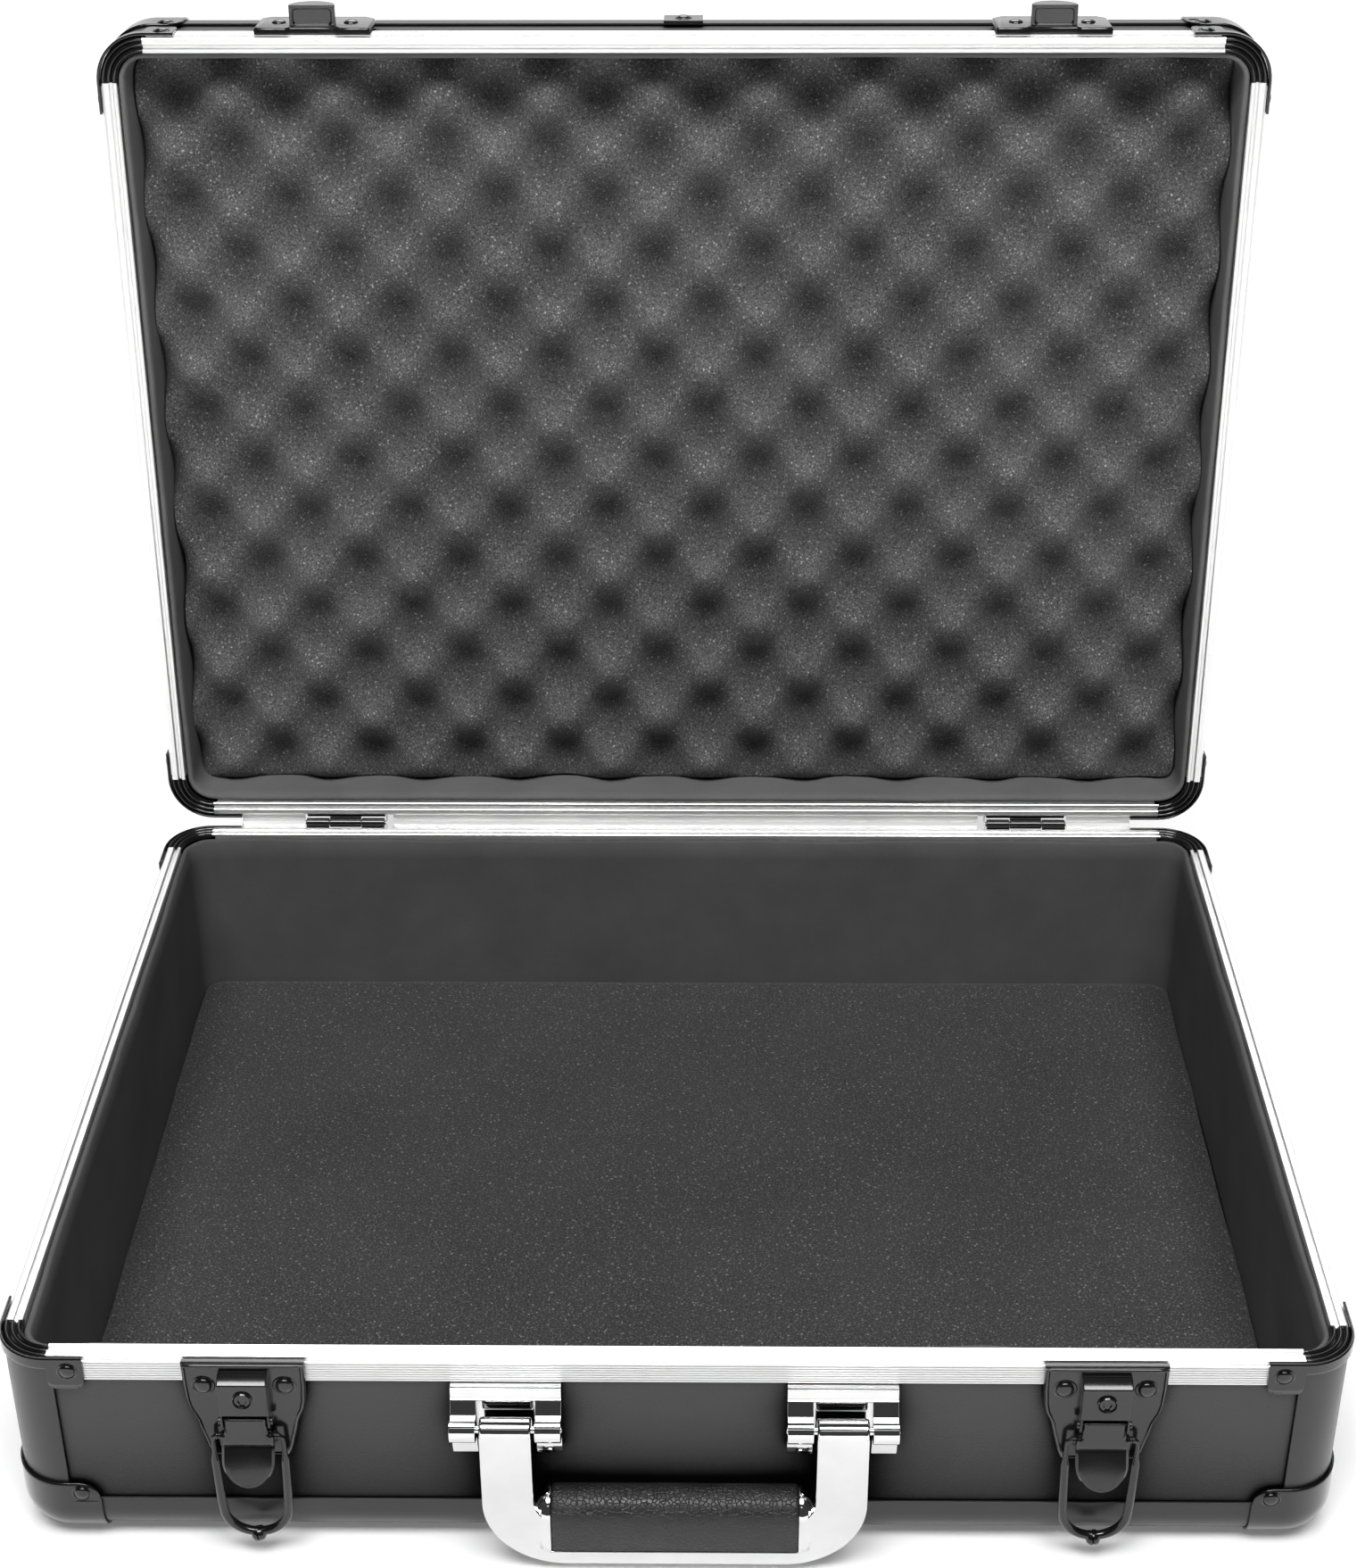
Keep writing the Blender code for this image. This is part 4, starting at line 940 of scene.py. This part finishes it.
def build_lever(node, matrix):
    """The sprung lever: flat under the lock, then hollow, with a round thumb tip that flares out."""
    face, crease, tongue, dip, turn, flare = 0.0086, -0.0312, 0.0158, 0.0014, 0.14, 0.0060
    wide, tip_z, flat_edge, roll_depth, dish_depth = 0.0090, -0.0380, 0.86, 0.0010, 0.0005
    shape = [(-0.0206, 0.0071), (-0.0266, 0.0071), (-0.0276, 0.0078), (-0.0284, 0.0088), (-0.0295, wide)]
    shape += [(-0.0310 - 0.0006 * k, wide) for k in range(7)] + [(-0.0360, wide), (-0.0372, wide)]
    shape += [(z, max(half, 0.0003)) for half, z in arc((0, tip_z), wide, 0, -90, 14)]
    rows = []
    for z, half in shape:
        t = min(max((crease - z) / tongue, 0.0), 1.0)
        sink, rise = min(t / turn, 1.0), max(t - turn, 0.0) / (1 - turn)
        y = -face + dip * sink * sink * (3 - 2 * sink) - flare * rise ** 0.85
        row = []
        for k in range(21):
            across = k / 10 - 1
            roll = roll_depth * max(0.0, (abs(across) - flat_edge) / (1 - flat_edge)) ** 2
            dish = dish_depth * across**2 * sin(pi * t)
            row.append((half * across, y + roll - dish, z))
        rows.append(row)
    lever = Form(matrix).loft(rows, ring=False)
    show(node, lever, thickness=0.0009, inside=(0, 0, -0.03), bevel=0.0002)
    trim = Form(matrix).wire((-0.0070, -face + 0.0007, -0.0208), 0.0140, 0.0004, 0.0002, 12, 10)
    front, back, high, low = -face + 0.0004, -0.0046, -0.0284, -0.0322
    for side in (-1, 1):
        ear = [(front, high), (back, high), (back, low), (front, low)]
        trim.prism(ear, *span_on(side, 0.0081, wide), "YZ")
        trim.rod((side * 0.0088, -0.0062, -0.0226), 0.0013, 0.0010, (1, 0, 0))
    make(f"{node}_trim", trim, "hardware", node.replace("latch_", ""), bevel=0.0002)


def build_bail(node, matrix):
    """The wire loop: thin turned-in ends, a short coil at each eye, and a weld bead at the bottom."""
    y, z, half, wire, bend, drop = -0.0060, -0.0296, 0.0120, 0.0016, 0.0112, 0.0450
    low = z - drop
    right = [(half - 0.0052, z, 0.5), (half - 0.0018, z, 0.5), (half - 0.0008, z - 0.0003, 0.5)]
    right += [(half - 0.0002, z - 0.0010, 0.5), (half, z - 0.0022, 0.5), (half, z - 0.0060, 0.52)]
    right += [(half, z - 0.0085, 0.66), (half, z - 0.0100, 0.92), (half, z - 0.0112, 1.0)]
    right += [(half - 0.0002, z - 0.0200, 1.0), (half - 0.0005, z - 0.0300, 1.0)]
    right += [(x, height, 1.0) for x, height in arc((0, low + bend), bend, -10, -90, 12)]
    route = right + [(-x, height, r) for x, height, r in reversed(right[:-1])]
    bail = Form(matrix)
    bail.tube([(x, y, height) for x, height, _ in route], [wire * r for _, _, r in route], 18)
    for side in (-1, 1):
        for turn in range(3):
            bail.rod((side * (half - 0.0016 - 0.0009 * turn), y, z), 0.00125, 0.0008, (1, 0, 0))
    bead = [(0.0, -0.0026), (0.0016, -0.0023), (0.0026, -0.0013), (0.0027, -0.0002), (0.0022, 0.0),
            (0.0027, 0.0003), (0.0025, 0.0015), (0.0016, 0.0023), (0.0, 0.0025)]
    bail.turned(bead, (0, y, low - 0.0010), (1, 0, 0.25), 24)
    show(node, bail, smooth=45)


def rounded(half, front, back, radius):
    """A rectangle in plan with round corners, symmetrical in X."""
    corners = ((half - radius, front + radius, -90), (half - radius, back - radius, 0),
               (-half + radius, back - radius, 90), (-half + radius, front + radius, 180))
    return [point for x, y, start in corners for point in arc((x, y), radius, start, start + 90, 6)]


def keeper_outline(shrink):
    """The keeper's pan: cut corners above, round ones below, and a gap between its two pads."""
    wide, tall, bevel = 0.0228, 0.0242, 0.0040
    half, high, low = wide - shrink, tall - shrink, 0.0006 + shrink
    right = [(wide - bevel, high), (half, tall - bevel), (half, low + 0.0008)]
    right += [(half - 0.0003, low + 0.0003), (half - 0.0010, low), (0.0104 + shrink, low)]
    right += [(0.0096 + shrink, low + 0.0005), (0.0086 + shrink, low + 0.0017)]
    return mirrored(right)


def build_keeper(node, matrix):
    """The catch on the lid: a pan with a rolled front edge in two pads, and a hood for the bail."""
    steps = ((0.0, -GAP), (0.0, -0.0020), (0.0002, -0.0026), (0.0006, -0.0030), (0.0012, -0.0031))
    pan = Form(matrix).pressed(keeper_outline, steps)
    for side in (-1, 1):
        pan.rivet((side * 0.0142, -0.0027, 0.0115), (0, -1, 0), *PAN_RIVET)
    show(node, pan, smooth=35)
    hood = Form(matrix)
    half, face, low, high, sheet, bend = 0.0090, -0.0110, 0.0042, 0.0131, 0.0010, 0.0092
    corner = degrees(acos(half / bend))
    crown = mirrored([*arc((0, high - bend), bend, 90, corner, 20), (half, low)])
    hood.prism(crown, face, face + sheet, "XZ")
    back, ease, rows = -0.0026, low + 0.0005, []
    for shrink, z in ((0.0, low + sheet), (0.0, ease), (0.0005, low), (0.0013, low), (0.0017, ease)):
        plan = rounded(half - shrink, face + shrink, -0.0020 - shrink, 0.0014)
        rows.append([(x, y, z) for x, y in plan])
    hood.loft(rows)
    shoulder, front = high - bend + bend * sin(radians(corner)), face + 0.0002
    cheek = [(back, low), (front, low), (front, shoulder), (back, shoulder + 0.0022)]
    for side in (-1, 1):
        hood.prism(cheek, *span_on(side, half, half - sheet), "YZ")
    make(f"{node}_hood", hood, "hardware", "lid", bevel=0.0005)


def build_latch(side, x):
    """One latch, open: all of it is on the base but the keeper, which is on the lid."""
    matrix = Matrix.Translation((x, FRONT, RIM))
    build_latch_plate(f"latch_plate_{side}", matrix)
    build_lock(f"lock_cylinder_{side}", matrix)
    build_lever(f"latch_lever_{side}", matrix)
    build_bail(f"latch_bail_{side}", matrix)
    build_keeper(f"latch_keeper_{side}", LID_CLOSED @ Matrix.Translation((x, FRONT, RIM + GAP)))


# Handle, in a frame on the case's front plane at the height of the rim

HANDLE_DROP = RIM - JOINTS["handle_pivot"]["pos_m"][2]
HANDLE_OUT = FRONT - JOINTS["handle_pivot"]["pos_m"][1]
STRAP = 0.0176
GRIP_HALF = 0.0426
GRIP_FRONT, GRIP_BACK, GRIP_LOW = 0.0135, 0.0012, 0.0764
GRIP_RADIUS, GRIP_MIDDLE = 0.0084, 0.0630
HANDLE_LOW = 0.0824


def build_bracket(node, matrix):
    """Two lugs with round knuckles at the pin, tied by a sloped top band and a back plate."""
    half, opening, back, joint = 0.0188, 0.0100, 0.0009, -0.0150
    band = [(back, -0.0108), (-0.0018, -0.0108), (-0.0026, -0.0112), (-0.0030, -0.0148)]
    band += [(-0.0036, -0.0152), (-0.0036, -0.0156), (back, -0.0156)]
    knuckle = arc((0.0005 - HANDLE_OUT, -HANDLE_DROP), 0.0048, 108, 250, 18)
    lug = [(back, joint), (-0.0034, joint), (-0.0062, -0.0200), *knuckle, (-0.0052, -0.0300)]
    lug += [(-0.0044, -0.0350), (-0.0034, -0.0390), (-0.0028, -0.0398), (back, -0.0398)]
    bracket = Form(matrix)
    for side in (-1, 1):
        bracket.prism(lug, *span_on(side, opening, half), "YZ")
    bracket.prism(band, -half, half, "YZ")
    bracket.box((-opening - 0.001, -0.0012, -0.0330), (opening + 0.001, back, joint))
    show(node, bracket, "chrome", bevel=0.0007)


def grip_section(swell):
    """Side view of the grip: flat front, round top, flat back, eased at its lower edges."""
    middle = (-GRIP_FRONT + GRIP_RADIUS, -GRIP_MIDDLE)
    back = degrees(acos((-GRIP_BACK - middle[0]) / GRIP_RADIUS))
    section = arc(middle, GRIP_RADIUS, 180, back, 20)
    section += [(-GRIP_BACK, -GRIP_LOW + 0.0010), (-GRIP_BACK - 0.0010, -GRIP_LOW)]
    section += [(-GRIP_FRONT + 0.0008, -GRIP_LOW), (-GRIP_FRONT, -GRIP_LOW + 0.0008)]
    at_y, at_z = -0.0078, -0.0680
    return [(at_y + (y - at_y) * swell, at_z + (z - at_z) * swell) for y, z in section]


def grip_form(form, stages):
    """Lofts the grip's section along X: stages are (x, how much of the section's size)."""
    return form.loft([[(x, *point) for point in grip_section(swell)] for x, swell in stages])


def build_handle():
    """The brackets and their pins, the chromed frame with its cups and lower bar, and the grip."""
    matrix = Matrix.Translation((0, FRONT, RIM))
    y, z = -HANDLE_OUT, -HANDLE_DROP
    for side, x in (("left", -HANDLE_X), ("right", HANDLE_X)):
        build_bracket(f"handle_bracket_{side}", Matrix.Translation((x, FRONT, RIM)))
        pin = Form(matrix).rod((x, y, z), 0.0013, 0.0382, (1, 0, 0))
        show(f"handle_pin_{side}", pin, "chrome")
    outer, inner = HANDLE_X + STRAP / 2, HANDLE_X - STRAP / 2
    bend, fillet, bar_top, room = 0.028, 0.0085, 0.0626, GRIP_HALF + GAP
    right = [(outer, z), *arc((outer - bend, -HANDLE_LOW + bend), bend, 0, -90, 24)]
    turn = arc((inner - fillet, -bar_top + fillet), fillet, 0, -90, 16)
    hollow = [(inner, z), *[point for point in turn if point[0] > room], (room, -GRIP_LOW - GAP)]
    left = [(-x, height) for x, height in reversed(right)]
    outline = [*right, *left, *[(-x, height) for x, height in hollow], *reversed(hollow)]
    strap = Form(matrix).prism(outline, -0.0130, -0.0096, "XZ")
    for x in (-HANDLE_X, HANDLE_X):
        strap.rod((x, y, z), 0.0042, STRAP, (1, 0, 0), 0.0006)
    show("handle_frame", strap, "chrome", bevel=0.0009)
    cups = Form(matrix)
    cup = [(0.0427, 1.03), (0.0434, 1.05), (0.0446, 1.03), (0.0462, 0.95)]
    cup += [(0.0478, 0.80), (0.0490, 0.58), (0.0497, 0.30), (0.0499, 0.05)]
    for side in (-1, 1):
        grip_form(cups, [(side * x, swell) for x, swell in cup])
    make("handle_cups", cups, "chrome", "handle", smooth=60)
    core = Form(matrix).box((-room, -0.0096, -GRIP_LOW - 0.0028), (room, -0.0022, -GRIP_LOW - GAP))
    make("handle_bar", core, "chrome", "handle", bevel=0.0006)
    ends = ((GRIP_HALF, 0.93), (GRIP_HALF - 0.0004, 0.98), (GRIP_HALF - 0.0012, 1.0))
    stages = [(-x, swell) for x, swell in ends]
    stages += [(GRIP_HALF * k / 10, 1.0) for k in range(-9, 10)] + list(reversed(ends))
    show("handle_grip", grip_form(Form(matrix), stages), "leather", smooth=50)


# The studio


def stage_look():
    """A white floor, which glows a little more far from the object, where the lights don't reach."""
    look = Look("studio floor", "stage")
    away = look.add("ShaderNodeVectorMath", Vector=look.place)
    away.operation = "LENGTH"
    look.set(
        Base_Color=look.shade(look.noise(3.0), 0.90, 0.92),
        Roughness=0.9,
        Specular_IOR_Level=0.1,
        Emission_Color=(1, 1, 1, 1),
        Emission_Strength=look.span(away.outputs["Value"], 0.15, 0.90, 2.5, 7.0),
    )
    return look.material


def soft_light(name, place, target, size, power, spread=pi):
    light = bpy.data.lights.new(name, "AREA")
    light.shape, light.size, light.energy, light.spread = "DISK", size, power, spread
    obj = new_object(name, light)
    obj.location = place
    obj.rotation_euler = (Vector(target) - Vector(place)).to_track_quat("-Z", "Y").to_euler()


def build_studio():
    reach = 8.0
    floor = Form().box((-reach, -reach, -0.02), (reach, reach, 0.0))
    mesh = new_mesh("floor", floor)
    mesh.materials.append(stage_look())
    new_object("floor", mesh)
    middle = (0.0, 0.0, 0.15)
    soft_light("key", (-0.45, -1.05, 2.3), middle, 1.0, 35.0)
    soft_light("fill", (0.50, -1.05, 2.3), middle, 1.0, 29.0)
    soft_light("back", (0.0, 2.0, 2.4), (0.0, 1.6, 0.0), 2.0, 50.0)
    soft_light("front", (0.0, -3.6, 2.2), (0.0, -3.6, 0.0), 2.5, 65.0, radians(100))
    build_world()


def build_world():
    """A bright backdrop behind the case, and the dark of the room overhead and behind the camera."""
    world = bpy.data.worlds.new("studio")
    bpy.context.scene.world = world
    world.use_nodes = True
    tree = world.node_tree
    place = tree.nodes.new("ShaderNodeTexCoord").outputs["Generated"]
    axes = tree.nodes.new("ShaderNodeSeparateXYZ")
    tree.links.new(place, axes.inputs[0])
    level = tree.nodes.new("ShaderNodeMapRange")
    level.interpolation_type = "SMOOTHSTEP"
    tree.links.new(axes.outputs["Y"], level.inputs["Value"])
    for name, number in (("From Min", 0.45), ("From Max", 0.80), ("To Min", 0.05), ("To Max", 0.90)):
        level.inputs[name].default_value = number
    tree.links.new(level.outputs["Result"], tree.nodes["Background"].inputs["Strength"])
    tree.nodes["Background"].inputs["Color"].default_value = (1, 1, 1, 1)


def build_camera():
    data = bpy.data.cameras.new("camera")
    data.sensor_width = 36.0
    data.lens = 60.13
    data.shift_x = -0.0052
    camera = new_object("camera", data)
    place = Matrix.Translation((0.0129, -0.8317, 0.6963))
    elevation, yaw, roll = radians(30.371), radians(0.693), radians(0.216)
    turn = Matrix.Rotation(yaw, 4, "Z") @ Matrix.Rotation(pi / 2 - elevation, 4, "X")
    camera.matrix_world = place @ turn @ Matrix.Rotation(-roll, 4, "Z")
    bpy.context.scene.camera = camera
    bpy.context.scene.view_settings.view_transform = "Standard"


build_trays()
for side_name, sign in (("left", -1), ("right", 1)):
    build_hinge(side_name, sign * HINGE_X)
    build_latch(side_name, sign * LATCH_X)
build_handle()
build_studio()
build_camera()
